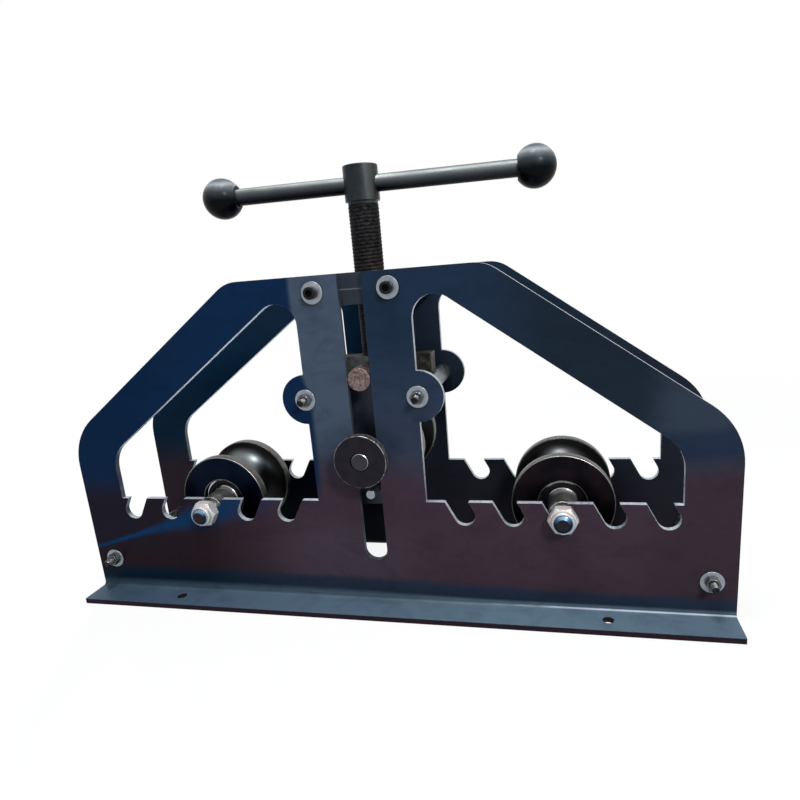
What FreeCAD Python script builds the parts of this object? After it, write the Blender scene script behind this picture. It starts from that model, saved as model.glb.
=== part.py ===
import FreeCAD, Part
import math
import os
import re

import Sketcher

# Three-roller ring roller, millimetres. X runs along the side plates, Y from the front plate (-Y)
# to the rear plate (+Y), Z up. The origin is on the bench, at the middle of the two plates.

SIZES = {
    # side plates: cut from sheet, the foot flange folded outwards
    "plate_length": "575", "plate_height": "287", "plate_thickness": "5", "plate_gap": "106",
    "flange_width": "28", "bend_radius": "3", "bend_height": "14",
    "top_width": "213", "arm_slope": "35.6", "arm_width": "36.7",
    "shoulder_radius": "30", "outer_radius": "55",
    # windows, ears and the slots cut in each plate
    "column_width": "96", "end_width": "40", "sill_height": "97",
    "window_top_radius": "18", "window_end_radius": "30",
    "ear_height": "187", "ear_radius": "21",
    "slot_width": "20", "slot_bottom": "42.5",
    "notch_count": "5", "notch_first": "79.6", "notch_pitch": "39.4", "notch_width": "17.5",
    "notch_bottom": "76.5", "notch_slant": "28", "notch_in_use": "3",
    "foot_hole_spacing": "383", "foot_hole_diameter": "9", "foot_hole_inset": "14",
    # M6 tie studs with spacer tubes, washers and nuts, and the screws of the nut block
    "stud_diameter": "6", "stud_hole": "6.6", "stud_end": "13.5",
    "washer_diameter": "18", "washer_thickness": "1.6", "nut_width": "10", "nut_height": "5",
    "tube_diameter": "15", "corner_tie_inset": "18.7", "corner_tie_z": "34.3",
    "cap_diameter": "10", "cap_height": "6", "cap_socket": "5", "cap_socket_depth": "3",
    "block_length": "84", "block_height": "25", "block_screw_x": "31.2", "block_screw_drop": "13.4",
    "block_screw_depth": "20",
    # lead screw, its head and the tommy bar
    "screw_diameter": "26", "screw_clearance": "0.1", "neck_diameter": "25.4", "neck_height": "3",
    "head_diameter": "29.5", "head_height": "28.5", "head_bottom": "344", "head_chamfer": "1",
    "pilot_diameter": "12", "pilot_length": "9",
    "bar_diameter": "14", "bar_length": "260", "bar_height": "357.5", "bar_turn": "4.5",
    "bar_slide": "9.5", "knob_diameter": "34", "knob_flat": "14", "knob_socket": "10.5",
    # carriage: crosshead, guide pins in the slots, two links and the centre shaft
    "crosshead_length": "101", "crosshead_depth": "18", "crosshead_height": "16.5",
    "crosshead_rise": "3.5", "pin_rise": "4.3", "slide_clearance": "0.3",
    "link_width": "36", "link_thickness": "6", "link_gap": "64", "link_saddle": "6",
    "link_drop": "64.3", "link_foot": "51.4", "guide_stud_diameter": "8", "guide_stud_drop": "35.2",
    "shaft_diameter": "16", "shaft_proud": "18.5", "running_clearance": "0.05",
    "bush_diameter": "19.4", "collar_diameter": "44.5", "collar_thickness": "8",
    "drive_width": "14", "drive_length": "22",
    # rollers with their saddle groove, ball bearings and axles
    "roller_diameter": "85", "roller_length": "60", "throat_diameter": "52", "groove_radius": "22",
    "rim_round": "1", "bearing_diameter": "40", "bearing_width": "12", "bearing_recess": "3",
    "roller_bore": "34", "shield_inner": "26.4", "shield_outer": "36", "shield_depth": "1",
    "axle_diameter": "17", "axle_thread": "14", "axle_nut_width": "21", "axle_nut_hex": "9",
    "axle_collar": "4", "axle_collar_diameter": "19", "axle_end": "2.5", "axle_head": "10",
    "axle_spacer_diameter": "23", "axle_bevel": "2", "shaft_bevel": "1.3", "face_clearance": "0.3",
}

DERIVED = {
    "half_gap": "plate_gap / 2",
    "half_depth": "half_gap + plate_thickness",
    "column_half": "column_width / 2",
    "window_outer": "plate_length / 2 - end_width",
    "outer_corner_height": "plate_height - (plate_length - top_width) / 2 * tan(arm_slope * 1deg)",
    "window_line": "top_width / 2 - arm_width / sin(arm_slope * 1deg)",
    "window_end_height": "plate_height - (window_outer - window_line) * tan(arm_slope * 1deg)",
    "window_top_height": "plate_height - (column_half - window_line) * tan(arm_slope * 1deg)",
    "corner_tie_x": "plate_length / 2 - corner_tie_inset",
    "block_screw_height": "plate_height - block_screw_drop",
    "axle_x": "notch_first + (notch_in_use - 1) * notch_pitch",
    "axle_height": "notch_bottom + notch_width / 2",
    "crosshead_bottom": "ear_height + tube_diameter / 2 + crosshead_rise",
    "crosshead_top": "crosshead_bottom + crosshead_height",
    "pin_height": "crosshead_bottom + pin_rise",
    "pin_diameter": "slot_width - 2 * slide_clearance",
    "shaft_height": "pin_height - link_drop",
    "guide_stud_height": "shaft_height - guide_stud_drop",
    "link_bottom": "shaft_height - link_foot",
    "link_height": "pin_height - link_saddle - link_bottom",
    "link_front": "link_gap / 2 + link_thickness",
    "shaft_half": "half_depth + shaft_proud",
    "groove_height": "throat_diameter / 2 + groove_radius",
    "groove_half": "sqrt(groove_radius ^ 2 - (groove_height - roller_diameter / 2) ^ 2)",
    "bearing_face": "roller_length / 2 - bearing_recess",
}

WORD = re.compile(r"\b([a-z][a-z_]*)\b(?!\s*\()")
UNITS = ("deg",)

document = FreeCAD.newDocument("RingRoller")
sheet = document.addObject("Spreadsheet::Sheet", "Sizes")
nodes = []


def named(expression):
    """The expression with each size's name pointing at the sheet."""
    return WORD.sub(lambda m: m.group(1) if m.group(1) in UNITS else "Sizes." + m.group(1), str(expression))


def fill_sheet():
    cells = list(SIZES.items()) + [(name, "=" + rule) for name, rule in DERIVED.items()]
    for row, (name, content) in enumerate(cells, start=1):
        sheet.set("A%d" % row, name)
        sheet.set("B%d" % row, content)
        sheet.setAlias("B%d" % row, name)
    document.recompute()


def value(expression):
    result = sheet.evalExpression(named(expression).replace("Sizes.", ""))
    return float(getattr(result, "Value", result))


def bind(item, rules):
    for path, expression in rules.items():
        item.setExpression(path, named(expression))


# ---------------------------------------------------------------- placing and keeping


def place(item, at=(0, 0, 0), axis=(0, 0, 1), angle=0):
    """Turns the item by a number of degrees and binds its position to three expressions."""
    turn = FreeCAD.Rotation(FreeCAD.Vector(*axis), angle)
    item.Placement = FreeCAD.Placement(FreeCAD.Vector(0, 0, 0), turn)
    bind(item, {".Placement.Base." + letter: rule for letter, rule in zip("xyz", at)})
    return item


def keep(item, label):
    item.Label = label
    nodes.append(item)
    return item


# ---------------------------------------------------------------- plain solids


def rod(diameter, length, at=(0, 0, 0), along="Y", name="rod"):
    """A cylinder from the given point along +X, +Y or +Z."""
    cylinder = document.addObject("Part::Cylinder", name)
    bind(cylinder, {"Radius": "(%s) / 2" % diameter, "Height": length})
    axis, angle = {"X": ((0, 1, 0), 90), "Y": ((1, 0, 0), -90), "Z": ((0, 0, 1), 0)}[along]
    return place(cylinder, at, axis, angle)


def bevelled_tip(diameter, bevel, at):
    """The bevelled front end of a rod along Y: a cone that narrows towards -Y by its own length."""
    cone = document.addObject("Part::Cone", "tip")
    bind(cone, {"Radius1": "(%s) / 2" % diameter, "Radius2": "(%s) / 2 - %s" % (diameter, bevel),
                "Height": bevel})
    return place(cone, at, (1, 0, 0), 90)


def hexagon(width, height, at, name="hexagon"):
    """A hexagonal bar along +Y with two level flats; the width is across flats."""
    prism = document.addObject("Part::Prism", name)
    prism.Polygon = 6
    bind(prism, {"Circumradius": "(%s) / 2 / cos(30deg)" % width, "Height": height})
    return place(prism, at, (1, 0, 0), -90)


def block(length, depth, height, at, name="block"):
    box = document.addObject("Part::Box", name)
    bind(box, {"Length": length, "Width": depth, "Height": height})
    return place(box, at)


def cut(base, *tools):
    for tool in tools:
        result = document.addObject("Part::Cut", base.Name + "_cut")
        result.Base, result.Tool = base, tool
        base = result
    return base


def fuse(first, *others):
    result = document.addObject("Part::MultiFuse", first.Name + "_fuse")
    result.Shapes = [first, *others]
    return result


def group(label, solids):
    result = document.addObject("Part::Compound", label)
    result.Links = solids
    return keep(result, label)


def tube(outer, inner, length, at, along="Y", name="tube"):
    return cut(rod(outer, length, at, along, name), rod(inner, length, at, along, name + "_bore"))


# ---------------------------------------------------------------- sketches


def plane(body, role):
    return next(item for item in body.Origin.OriginFeatures if item.Role == role)


def new_body(label):
    body = document.addObject("PartDesign::Body", label)
    return keep(body, label)


def new_sketch(body, role, name):
    sketch = body.newObject("Sketcher::SketchObject", name)
    sketch.AttachmentSupport = [(plane(body, role), "")]
    sketch.MapMode = "FlatFace"
    return sketch


def constrain(sketch, kind, *where, rule=None):
    """Adds one constraint, its value given by an expression where the kind has a value."""
    if rule is None:
        return sketch.addConstraint(Sketcher.Constraint(kind, *where))
    if kind == "Angle":
        rule = "(%s) * 1deg" % rule
    size = math.radians(value(rule)) if kind == "Angle" else value(rule)
    index = sketch.addConstraint(Sketcher.Constraint(kind, *where, size))
    sketch.setExpression("Constraints[%d]" % index, named(rule))
    return index


def pin_point(sketch, item, end, x, y):
    constrain(sketch, "DistanceX", -1, 1, item, end, rule=x)
    constrain(sketch, "DistanceY", -1, 1, item, end, rule=y)


def flat(x, y):
    return FreeCAD.Vector(x, y, 0)


def sweep_arc(centre, radius, start, end):
    circle = Part.Circle(centre, FreeCAD.Vector(0, 0, 1), radius)
    first = math.atan2(start.y - centre.y, start.x - centre.x)
    last = math.atan2(end.y - centre.y, end.x - centre.x)
    return Part.ArcOfCircle(circle, first, last if last > first else last + 2 * math.pi)


def outline(sketch, corners):
    """A closed wire through corners (x, y) or (x, y, radius), each rounded by a tangent arc."""
    points = [flat(value(corner[0]), value(corner[1])) for corner in corners]
    count = len(points)
    arrive, leave, arcs = list(points), list(points), {}
    for i, corner in enumerate(corners):
        if len(corner) == 2:
            continue
        back = (points[i - 1] - points[i]).normalize()
        ahead = (points[(i + 1) % count] - points[i]).normalize()
        half = back.getAngle(ahead) / 2
        radius = value(corner[2])
        arrive[i] = points[i] + back * (radius / math.tan(half))
        leave[i] = points[i] + ahead * (radius / math.tan(half))
        centre = points[i] + (back + ahead).normalize() * (radius / math.sin(half))
        left_turn = back.cross(ahead).z < 0
        ends = (arrive[i], leave[i]) if left_turn else (leave[i], arrive[i])
        arcs[i] = (sweep_arc(centre, radius, *ends), left_turn)
    lines = [
        sketch.addGeometry(Part.LineSegment(leave[i], arrive[(i + 1) % count]), False) for i in range(count)
    ]
    for i, corner in enumerate(corners):
        into, out = lines[i - 1], lines[i]
        if i not in arcs:
            constrain(sketch, "Coincident", into, 2, out, 1)
            pin_point(sketch, out, 1, corner[0], corner[1])
            continue
        arc = sketch.addGeometry(arcs[i][0], False)
        first, last = (1, 2) if arcs[i][1] else (2, 1)
        constrain(sketch, "Tangent", into, 2, arc, first)
        constrain(sketch, "Tangent", out, 1, arc, last)
        constrain(sketch, "Radius", arc, rule=corner[2])
        tip = sketch.addGeometry(Part.Point(points[i]), True)
        pin_point(sketch, tip, 1, corner[0], corner[1])
        constrain(sketch, "PointOnObject", tip, 1, into)
        constrain(sketch, "PointOnObject", tip, 1, out)
    return lines


def sag(sketch, chord, middle, radius):
    """Replaces a side that runs to the left by an arc hanging below it; the side stays as its chord."""
    line = sketch.Geometry[chord]
    centre = flat(value(middle[0]), value(middle[1]))
    arc = sketch.addGeometry(sweep_arc(centre, value(radius), line.EndPoint, line.StartPoint), False)
    sketch.toggleConstruction(chord)
    constrain(sketch, "Coincident", arc, 1, chord, 2)
    constrain(sketch, "Coincident", arc, 2, chord, 1)
    constrain(sketch, "Radius", arc, rule=radius)


def open_slot(sketch, x, y, width, top, slant="0"):
    """A round-ended slot from its end's centre up to a level cap, leaning left by slant degrees."""
    centre, radius, lean = flat(value(x), value(y)), value(width) / 2, math.radians(value(slant))
    across = flat(math.cos(lean), math.sin(lean)) * radius
    up = flat(-math.sin(lean), math.cos(lean))
    reach = value(top) - centre.y
    right_foot, left_foot = centre + across, centre - across
    right_tip = right_foot + up * ((reach - across.y) / up.y)
    left_tip = left_foot + up * ((reach + across.y) / up.y)
    arc = sketch.addGeometry(sweep_arc(centre, radius, left_foot, right_foot), False)
    right = sketch.addGeometry(Part.LineSegment(right_foot, right_tip), False)
    cap = sketch.addGeometry(Part.LineSegment(right_tip, left_tip), False)
    left = sketch.addGeometry(Part.LineSegment(left_tip, left_foot), False)
    constrain(sketch, "Tangent", arc, 2, right, 1)
    constrain(sketch, "Tangent", left, 2, arc, 1)
    constrain(sketch, "Coincident", right, 2, cap, 1)
    constrain(sketch, "Coincident", cap, 2, left, 1)
    constrain(sketch, "Horizontal", cap)
    constrain(sketch, "Parallel", left, right)
    pin_point(sketch, arc, 3, x, y)
    constrain(sketch, "Radius", arc, rule="(%s) / 2" % width)
    constrain(sketch, "DistanceY", -1, 1, cap, 1, rule=top)
    constrain(sketch, "Angle", right, rule="90 + (%s)" % slant)


def circles(sketch, diameter, places):
    for x, y in places:
        item = sketch.addGeometry(
            Part.Circle(flat(value(x), value(y)), FreeCAD.Vector(0, 0, 1), value(diameter) / 2), False
        )
        constrain(sketch, "Radius", item, rule="(%s) / 2" % diameter)
        pin_point(sketch, item, 3, x, y)


def feature(body, kind, sketch, name, rules, symmetric=False):
    item = body.newObject("PartDesign::" + kind, name)
    item.Profile = sketch
    if symmetric:
        item.SideType = "Symmetric"
    bind(item, rules)
    body.Tip = item
    return item


def mirrored_sides(x):
    return ("-(%s)" % x, x)


# ---------------------------------------------------------------- side plates


def fold(body):
    """The foot flange and the rounded bend that joins it to the plate."""
    sketch = new_sketch(body, "YZ_Plane", "flange_profile")
    outline(sketch, [
        ("0", "bend_height"),
        ("0", "0", "bend_radius + plate_thickness"),
        ("-(plate_thickness + flange_width)", "0"),
        ("-(plate_thickness + flange_width)", "plate_thickness"),
        ("-plate_thickness", "plate_thickness", "bend_radius"),
        ("-plate_thickness", "bend_height"),
    ])
    feature(body, "Pad", sketch, "flange", {"Length": "plate_length"}, symmetric=True)


def face(body):
    """The plate's outer outline: level top, sloping arms and large rounded outer corners."""
    sketch = new_sketch(body, "XZ_Plane", "face_outline")
    outline(sketch, [
        ("-plate_length / 2", "bend_height"),
        ("plate_length / 2", "bend_height"),
        ("plate_length / 2", "outer_corner_height", "outer_radius"),
        ("top_width / 2", "plate_height", "shoulder_radius"),
        ("-top_width / 2", "plate_height", "shoulder_radius"),
        ("-plate_length / 2", "outer_corner_height", "outer_radius"),
    ])
    feature(body, "Pad", sketch, "face", {"Length": "plate_thickness"})


def windows(body):
    sketch = new_sketch(body, "XZ_Plane", "window_outlines")
    for sign in ("", "-"):
        corners = [
            (sign + "column_half", "sill_height"),
            (sign + "window_outer", "sill_height"),
            (sign + "window_outer", "window_end_height", "window_end_radius"),
            (sign + "column_half", "window_top_height", "window_top_radius"),
        ]
        outline(sketch, corners if sign == "" else corners[::-1])
    feature(body, "Pocket", sketch, "windows", {"Length": "4 * plate_thickness"}, symmetric=True)


def ears(body):
    sketch = new_sketch(body, "XZ_Plane", "ear_discs")
    circles(sketch, "2 * ear_radius", [(x, "ear_height") for x in mirrored_sides("column_half")])
    feature(body, "Pad", sketch, "ears", {"Length": "plate_thickness"})


def notches(body):
    """Five slanted notches in each sill, leaning away from the middle as they go down."""
    for sign, name in (("", "right"), ("-", "left")):
        sketch = new_sketch(body, "XZ_Plane", name + "_notch_outline")
        open_slot(sketch, sign + "notch_first", "axle_height", "notch_width",
                  "sill_height + plate_thickness", slant=sign + "notch_slant")
        first = feature(body, "Pocket", sketch, name + "_notch", {"Length": "4 * plate_thickness"},
                        symmetric=True)
        row = body.newObject("PartDesign::LinearPattern", name + "_notches")
        row.Originals = [first]
        row.Direction = (sketch, ["H_Axis"])
        row.Reversed = sign == "-"
        bind(row, {"Length": "notch_pitch * (notch_count - 1)", "Occurrences": "notch_count"})
        body.Tip = row


def slot_and_holes(body):
    sketch = new_sketch(body, "XZ_Plane", "slot_outline")
    open_slot(sketch, "0", "slot_bottom + slot_width / 2", "slot_width", "plate_height + plate_thickness")
    feature(body, "Pocket", sketch, "slot", {"Length": "4 * plate_thickness"}, symmetric=True)
    sketch = new_sketch(body, "XZ_Plane", "stud_hole_outlines")
    for x, z in (("column_half", "ear_height"), ("corner_tie_x", "corner_tie_z"),
                 ("block_screw_x", "block_screw_height")):
        circles(sketch, "stud_hole", [(side, z) for side in mirrored_sides(x)])
    feature(body, "Pocket", sketch, "stud_holes", {"Length": "4 * plate_thickness"}, symmetric=True)
    sketch = new_sketch(body, "XY_Plane", "foot_hole_outlines")
    inset = "-(plate_thickness + flange_width - foot_hole_inset)"
    circles(sketch, "foot_hole_diameter", [(x, inset) for x in mirrored_sides("foot_hole_spacing / 2")])
    feature(body, "Pocket", sketch, "foot_holes", {"Length": "4 * plate_thickness"}, symmetric=True)


def side_plate(label, y, turn):
    body = new_body(label)
    fold(body)
    face(body)
    windows(body)
    ears(body)
    notches(body)
    slot_and_holes(body)
    place(body, ("0", y, "0"), (0, 0, 1), turn)


# ---------------------------------------------------------------- frame fasteners


def tie_places():
    corners = [(x, "corner_tie_z") for x in mirrored_sides("corner_tie_x")]
    ear_ties = [(x, "ear_height") for x in mirrored_sides("column_half")]
    return corners + ear_ties


def faces_out(thickness, stand="0"):
    """Start planes along Y of a piece that lies on the front plate and of its twin at the rear."""
    return ("-(half_depth + (%s) + (%s))" % (stand, thickness), "half_depth + (%s)" % stand)


def ties():
    for name, (x, z) in zip(("left_corner", "right_corner", "left_ear", "right_ear"), tie_places()):
        keep(tube("tube_diameter", "stud_hole", "plate_gap", (x, "-half_gap", z)), name + "_spacer_tube")
    studs = [rod("stud_diameter", "2 * (half_depth + stud_end)", (x, "-(half_depth + stud_end)", z))
             for x, z in tie_places()]
    group("tie_studs", studs)
    washers, nuts = [], []
    for x, z in tie_places():
        for y in faces_out("washer_thickness"):
            washers.append(tube("washer_diameter", "stud_diameter", "washer_thickness", (x, y, z)))
        for y in faces_out("nut_height", "washer_thickness"):
            bore = rod("stud_diameter", "nut_height", (x, y, z))
            nuts.append(cut(hexagon("nut_width", "nut_height", (x, y, z)), bore))
    group("tie_washers", washers)
    group("tie_nuts", nuts)


def nut_block():
    """The block between the plates that carries the lead screw's thread."""
    solid = block("block_length", "plate_gap", "block_height",
                  ("-block_length / 2", "-half_gap", "plate_height - block_height"))
    tools = [rod("screw_diameter + 2 * screw_clearance", "block_height",
                 ("0", "0", "plate_height - block_height"), "Z")]
    for x in mirrored_sides("block_screw_x"):
        tools.append(rod("stud_diameter", "block_screw_depth", (x, "-half_gap", "block_screw_height")))
        tools.append(rod("stud_diameter", "block_screw_depth", (x, "half_gap - block_screw_depth",
                                                               "block_screw_height")))
    keep(cut(solid, *tools), "nut_block")


def cap_screw(x, side):
    """A socket cap screw through one plate into the nut block, its head outside the washer."""
    z = "block_screw_height"
    length = "block_screw_depth + plate_thickness + washer_thickness"
    head_y, tip_y = "half_depth + washer_thickness", "half_gap - block_screw_depth"
    if side < 0:
        shank = rod("stud_diameter", length, (x, "-(%s)" % head_y, z))
        head = rod("cap_diameter", "cap_height", (x, "-(%s + cap_height)" % head_y, z))
        socket = hexagon("cap_socket", "cap_socket_depth", (x, "-(%s + cap_height)" % head_y, z))
    else:
        shank = rod("stud_diameter", length, (x, tip_y, z))
        head = rod("cap_diameter", "cap_height", (x, head_y, z))
        socket = hexagon("cap_socket", "cap_socket_depth",
                         (x, head_y + " + cap_height - cap_socket_depth", z))
    return fuse(shank, cut(head, socket))


def nut_block_fasteners():
    screws, washers = [], []
    for x in mirrored_sides("block_screw_x"):
        screws += [cap_screw(x, -1), cap_screw(x, 1)]
        for y in faces_out("washer_thickness"):
            washers.append(tube("washer_diameter", "stud_diameter", "washer_thickness",
                                (x, y, "block_screw_height")))
    group("block_screws", screws)
    group("block_washers", washers)


# ---------------------------------------------------------------- lead screw and tommy bar


def lead_screw():
    """Head, neck ring, threaded length at its major diameter and the pilot in the crosshead."""
    body = new_body("lead_screw")
    sketch = new_sketch(body, "XZ_Plane", "turned_profile")
    outline(sketch, [
        ("0", "crosshead_top - pilot_length"),
        ("pilot_diameter / 2", "crosshead_top - pilot_length"),
        ("pilot_diameter / 2", "crosshead_top"),
        ("screw_diameter / 2", "crosshead_top"),
        ("screw_diameter / 2", "head_bottom - neck_height"),
        ("neck_diameter / 2", "head_bottom - neck_height"),
        ("neck_diameter / 2", "head_bottom"),
        ("head_diameter / 2", "head_bottom"),
        ("head_diameter / 2", "head_bottom + head_height", "head_chamfer"),
        ("0", "head_bottom + head_height"),
    ])
    turned = feature(body, "Revolution", sketch, "turned", {})
    turned.ReferenceAxis = (sketch, ["V_Axis"])
    sketch = new_sketch(body, "YZ_Plane", "bar_hole_outline")
    circles(sketch, "bar_diameter + 2 * running_clearance", [("0", "bar_height")])
    feature(body, "Pocket", sketch, "bar_hole", {"Length": "2 * head_diameter"}, symmetric=True)
    place(body, ("0", "0", "0"), (0, 0, 1), 0)
    bind(body, {".Placement.Rotation.Angle": "bar_turn * 1deg"})


def along_bar(distance):
    """A point on the tommy bar's axis, measured from the lead screw's axis."""
    return ("(%s) * cos(bar_turn * 1deg)" % distance, "(%s) * sin(bar_turn * 1deg)" % distance,
            "bar_height")


def turned_about_bar(label, start, corners):
    """A piece revolved about the tommy bar's axis, its profile drawn from the given start."""
    body = new_body(label)
    sketch = new_sketch(body, "XZ_Plane", "turned_profile")
    outline(sketch, corners)
    turned = feature(body, "Revolution", sketch, "turned", {})
    turned.ReferenceAxis = (sketch, ["H_Axis"])
    place(body, along_bar(start), (0, 0, 1), 0)
    bind(body, {".Placement.Rotation.Angle": "bar_turn * 1deg"})
    return body


def tommy_bar():
    turned_about_bar("tommy_bar", "bar_slide", [
        ("-bar_length / 2", "0"),
        ("bar_length / 2", "0"),
        ("bar_length / 2", "bar_diameter / 2"),
        ("-bar_length / 2", "bar_diameter / 2"),
    ])


def ball_knob(label, sign):
    """A ball with a flat towards the bar and a blind socket that takes the bar's end."""
    ball = document.addObject("Part::Sphere", label + "_ball")
    bind(ball, {"Radius": "knob_diameter / 2"})
    beyond_flat = rod("knob_diameter", "knob_diameter", ("-knob_flat - knob_diameter", "0", "0"), "X")
    socket = rod("bar_diameter + 2 * running_clearance", "knob_socket", ("-knob_flat", "0", "0"), "X")
    knob = cut(ball, beyond_flat, socket)
    reach = "(bar_length / 2 - knob_socket + knob_flat)"
    place(knob, along_bar("bar_slide %s %s" % ("+" if sign > 0 else "-", reach)))
    bind(knob, {".Placement.Rotation.Angle": "(bar_turn + %d) * 1deg" % (0 if sign > 0 else 180)})
    keep(knob, label)


# ---------------------------------------------------------------- carriage


def crosshead():
    bar = block("crosshead_length", "crosshead_depth", "crosshead_height",
                ("-crosshead_length / 2", "-crosshead_depth / 2", "crosshead_bottom"))
    seat = rod("pilot_diameter + 2 * running_clearance", "pilot_length + face_clearance",
               ("0", "0", "crosshead_top - pilot_length - face_clearance"), "Z")
    keep(cut(bar, seat), "crosshead")


def guide_pin(label, side):
    start = "-half_depth" if side < 0 else "crosshead_depth / 2"
    keep(rod("pin_diameter", "half_depth - crosshead_depth / 2", ("0", start, "pin_height")), label)


def link(label, side):
    """A hanger plate welded under its guide pin, bored for the shaft."""
    start = "-link_front" if side < 0 else "link_gap / 2"
    plate = block("link_width", "link_thickness", "link_height",
                  ("-link_width / 2", start, "link_bottom"))
    saddle = rod("pin_diameter", "link_thickness", ("0", start, "pin_height"))
    bore = rod("shaft_diameter + 2 * running_clearance", "link_thickness", ("0", start, "shaft_height"))
    keep(cut(plate, saddle, bore), label)


def slot_bush(label, side):
    """The bush on the link that fills the slot's width round the shaft."""
    length = "half_depth + shaft_proud - collar_thickness - link_front - face_clearance"
    start = "-(link_front + %s)" % length if side < 0 else "link_front"
    keep(tube("bush_diameter", "shaft_diameter + 2 * running_clearance", length,
              ("0", start, "shaft_height")), label)


def guide_stud(label, side):
    start = "-half_depth" if side < 0 else "link_front"
    keep(rod("guide_stud_diameter", "half_depth - link_front", ("0", start, "guide_stud_height")), label)


def centre_shaft():
    """Plain shaft through both slots; a hexagon at the rear takes the turning handle."""
    front = "-(shaft_half - shaft_bevel)"
    plain = rod("shaft_diameter", "2 * shaft_half - shaft_bevel", ("0", front, "shaft_height"))
    tip = bevelled_tip("shaft_diameter", "shaft_bevel", ("0", front, "shaft_height"))
    drive = hexagon("drive_width", "drive_length", ("0", "shaft_half", "shaft_height"))
    keep(fuse(plain, tip, drive), "centre_shaft")


def collar(label, side):
    start = "-shaft_half" if side < 0 else "shaft_half - collar_thickness"
    keep(tube("collar_diameter", "shaft_diameter", "collar_thickness", ("0", start, "shaft_height")), label)


# ---------------------------------------------------------------- rollers and axles


def grooved_roller(label, bore_steps, x, z):
    """A roller revolved about Y: two flanges and a round saddle groove between them."""
    body = new_body(label)
    sketch = new_sketch(body, "YZ_Plane", "turned_profile")
    corners = bore_steps + [
        ("roller_length / 2", "roller_diameter / 2", "rim_round"),
        ("groove_half", "roller_diameter / 2"),
        ("-groove_half", "roller_diameter / 2"),
        ("-roller_length / 2", "roller_diameter / 2", "rim_round"),
    ]
    sides = outline(sketch, corners)
    sag(sketch, sides[-3], ("0", "groove_height"), "groove_radius")
    turned = feature(body, "Revolution", sketch, "turned", {})
    turned.ReferenceAxis = (sketch, ["H_Axis"])
    place(body, (x, "0", z))


def centre_roller():
    grooved_roller("centre_roller", [
        ("-roller_length / 2", "shaft_diameter / 2"),
        ("roller_length / 2", "shaft_diameter / 2"),
    ], "0", "shaft_height")


def lower_roller(label, x):
    """The bore is stepped to seat a recessed ball bearing at each end."""
    seat = "bearing_face - bearing_width"
    grooved_roller(label, [
        ("-roller_length / 2", "bearing_diameter / 2"),
        ("-(%s)" % seat, "bearing_diameter / 2"),
        ("-(%s)" % seat, "roller_bore / 2"),
        (seat, "roller_bore / 2"),
        (seat, "bearing_diameter / 2"),
        ("roller_length / 2", "bearing_diameter / 2"),
    ], x, "axle_height")


def bearings(label, x):
    """A pair of ball bearings: rings at full width and a sunk shield between them on each side."""
    pair = []
    for start in ("-bearing_face", "bearing_face - bearing_width"):
        solid = tube("bearing_diameter", "axle_diameter + 2 * running_clearance", "bearing_width",
                     (x, start, "axle_height"))
        for shield_start in (start, "%s + bearing_width - shield_depth" % start):
            solid = cut(solid, tube("shield_outer", "shield_inner", "shield_depth",
                                    (x, shield_start, "axle_height")))
        pair.append(solid)
    group(label, pair)


def axle(label, x):
    """Ground shank with a hexagonal head at the rear and a threaded, bevelled front end."""
    head_start = "half_depth + face_clearance"
    shoulder = head_start + " + axle_nut_hex + axle_collar + axle_end - axle_bevel"
    shank = rod("axle_diameter", "2 * half_depth + face_clearance", (x, "-half_depth", "axle_height"))
    thread = rod("axle_thread", shoulder + " - half_depth", (x, "-(%s)" % shoulder, "axle_height"))
    tip = bevelled_tip("axle_thread", "axle_bevel", (x, "-(%s)" % shoulder, "axle_height"))
    head = hexagon("axle_nut_width", "axle_head", (x, head_start, "axle_height"))
    keep(fuse(shank, thread, tip, head), label)


def lock_nut(label, x):
    """A prevailing-torque nut: hexagon against the plate and a plain collar round its insert."""
    back = "half_depth + face_clearance"
    front = "-(%s + axle_nut_hex + axle_collar)" % back
    hexagonal = hexagon("axle_nut_width", "axle_nut_hex",
                        (x, "-(%s + axle_nut_hex)" % back, "axle_height"))
    ring = rod("axle_collar_diameter", "axle_collar", (x, front, "axle_height"))
    bore = rod("axle_thread", "axle_nut_hex + axle_collar", (x, front, "axle_height"))
    keep(cut(fuse(hexagonal, ring), bore), label)


def axle_spacers(label, x):
    length = "half_gap - bearing_face - 2 * face_clearance"
    starts = ("-(half_gap - face_clearance)", "bearing_face + face_clearance")
    group(label, [tube("axle_spacer_diameter", "axle_diameter", length, (x, y, "axle_height"))
                  for y in starts])


def roller_station(side, x):
    lower_roller(side + "_roller", x)
    bearings(side + "_bearings", x)
    axle(side + "_axle", x)
    lock_nut(side + "_lock_nut", x)
    axle_spacers(side + "_axle_spacers", x)


# ---------------------------------------------------------------- the whole machine


def build():
    fill_sheet()
    side_plate("front_side_plate", "-half_gap", 0)
    side_plate("rear_side_plate", "half_gap", 180)
    ties()
    nut_block()
    nut_block_fasteners()
    lead_screw()
    tommy_bar()
    ball_knob("left_knob", -1)
    ball_knob("right_knob", 1)
    crosshead()
    for side, name in ((-1, "front"), (1, "rear")):
        guide_pin(name + "_guide_pin", side)
        link(name + "_link", side)
        slot_bush(name + "_slot_bush", side)
        guide_stud(name + "_guide_stud", side)
        collar(name + "_collar", side)
    centre_shaft()
    centre_roller()
    roller_station("left", "-axle_x")
    roller_station("right", "axle_x")
    document.recompute()


def check():
    for item in document.Objects:
        if {"Invalid", "Error"} & set(item.State):
            raise RuntimeError("%s failed: %s" % (item.Label, item.State))
    for node in nodes:
        if node.Shape.isNull() or not node.Shape.isValid() or not node.Shape.Solids:
            raise RuntimeError("%s has no valid solid" % node.Label)


def write():
    os.makedirs("parts", exist_ok=True)
    for node in nodes:
        node.Shape.exportStep("parts/%s.step" % node.Label)
        print("%-26s %2d solids %10.0f mm3" % (node.Label, len(node.Shape.Solids), node.Shape.Volume))


build()
check()
write()
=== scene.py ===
import math

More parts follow.
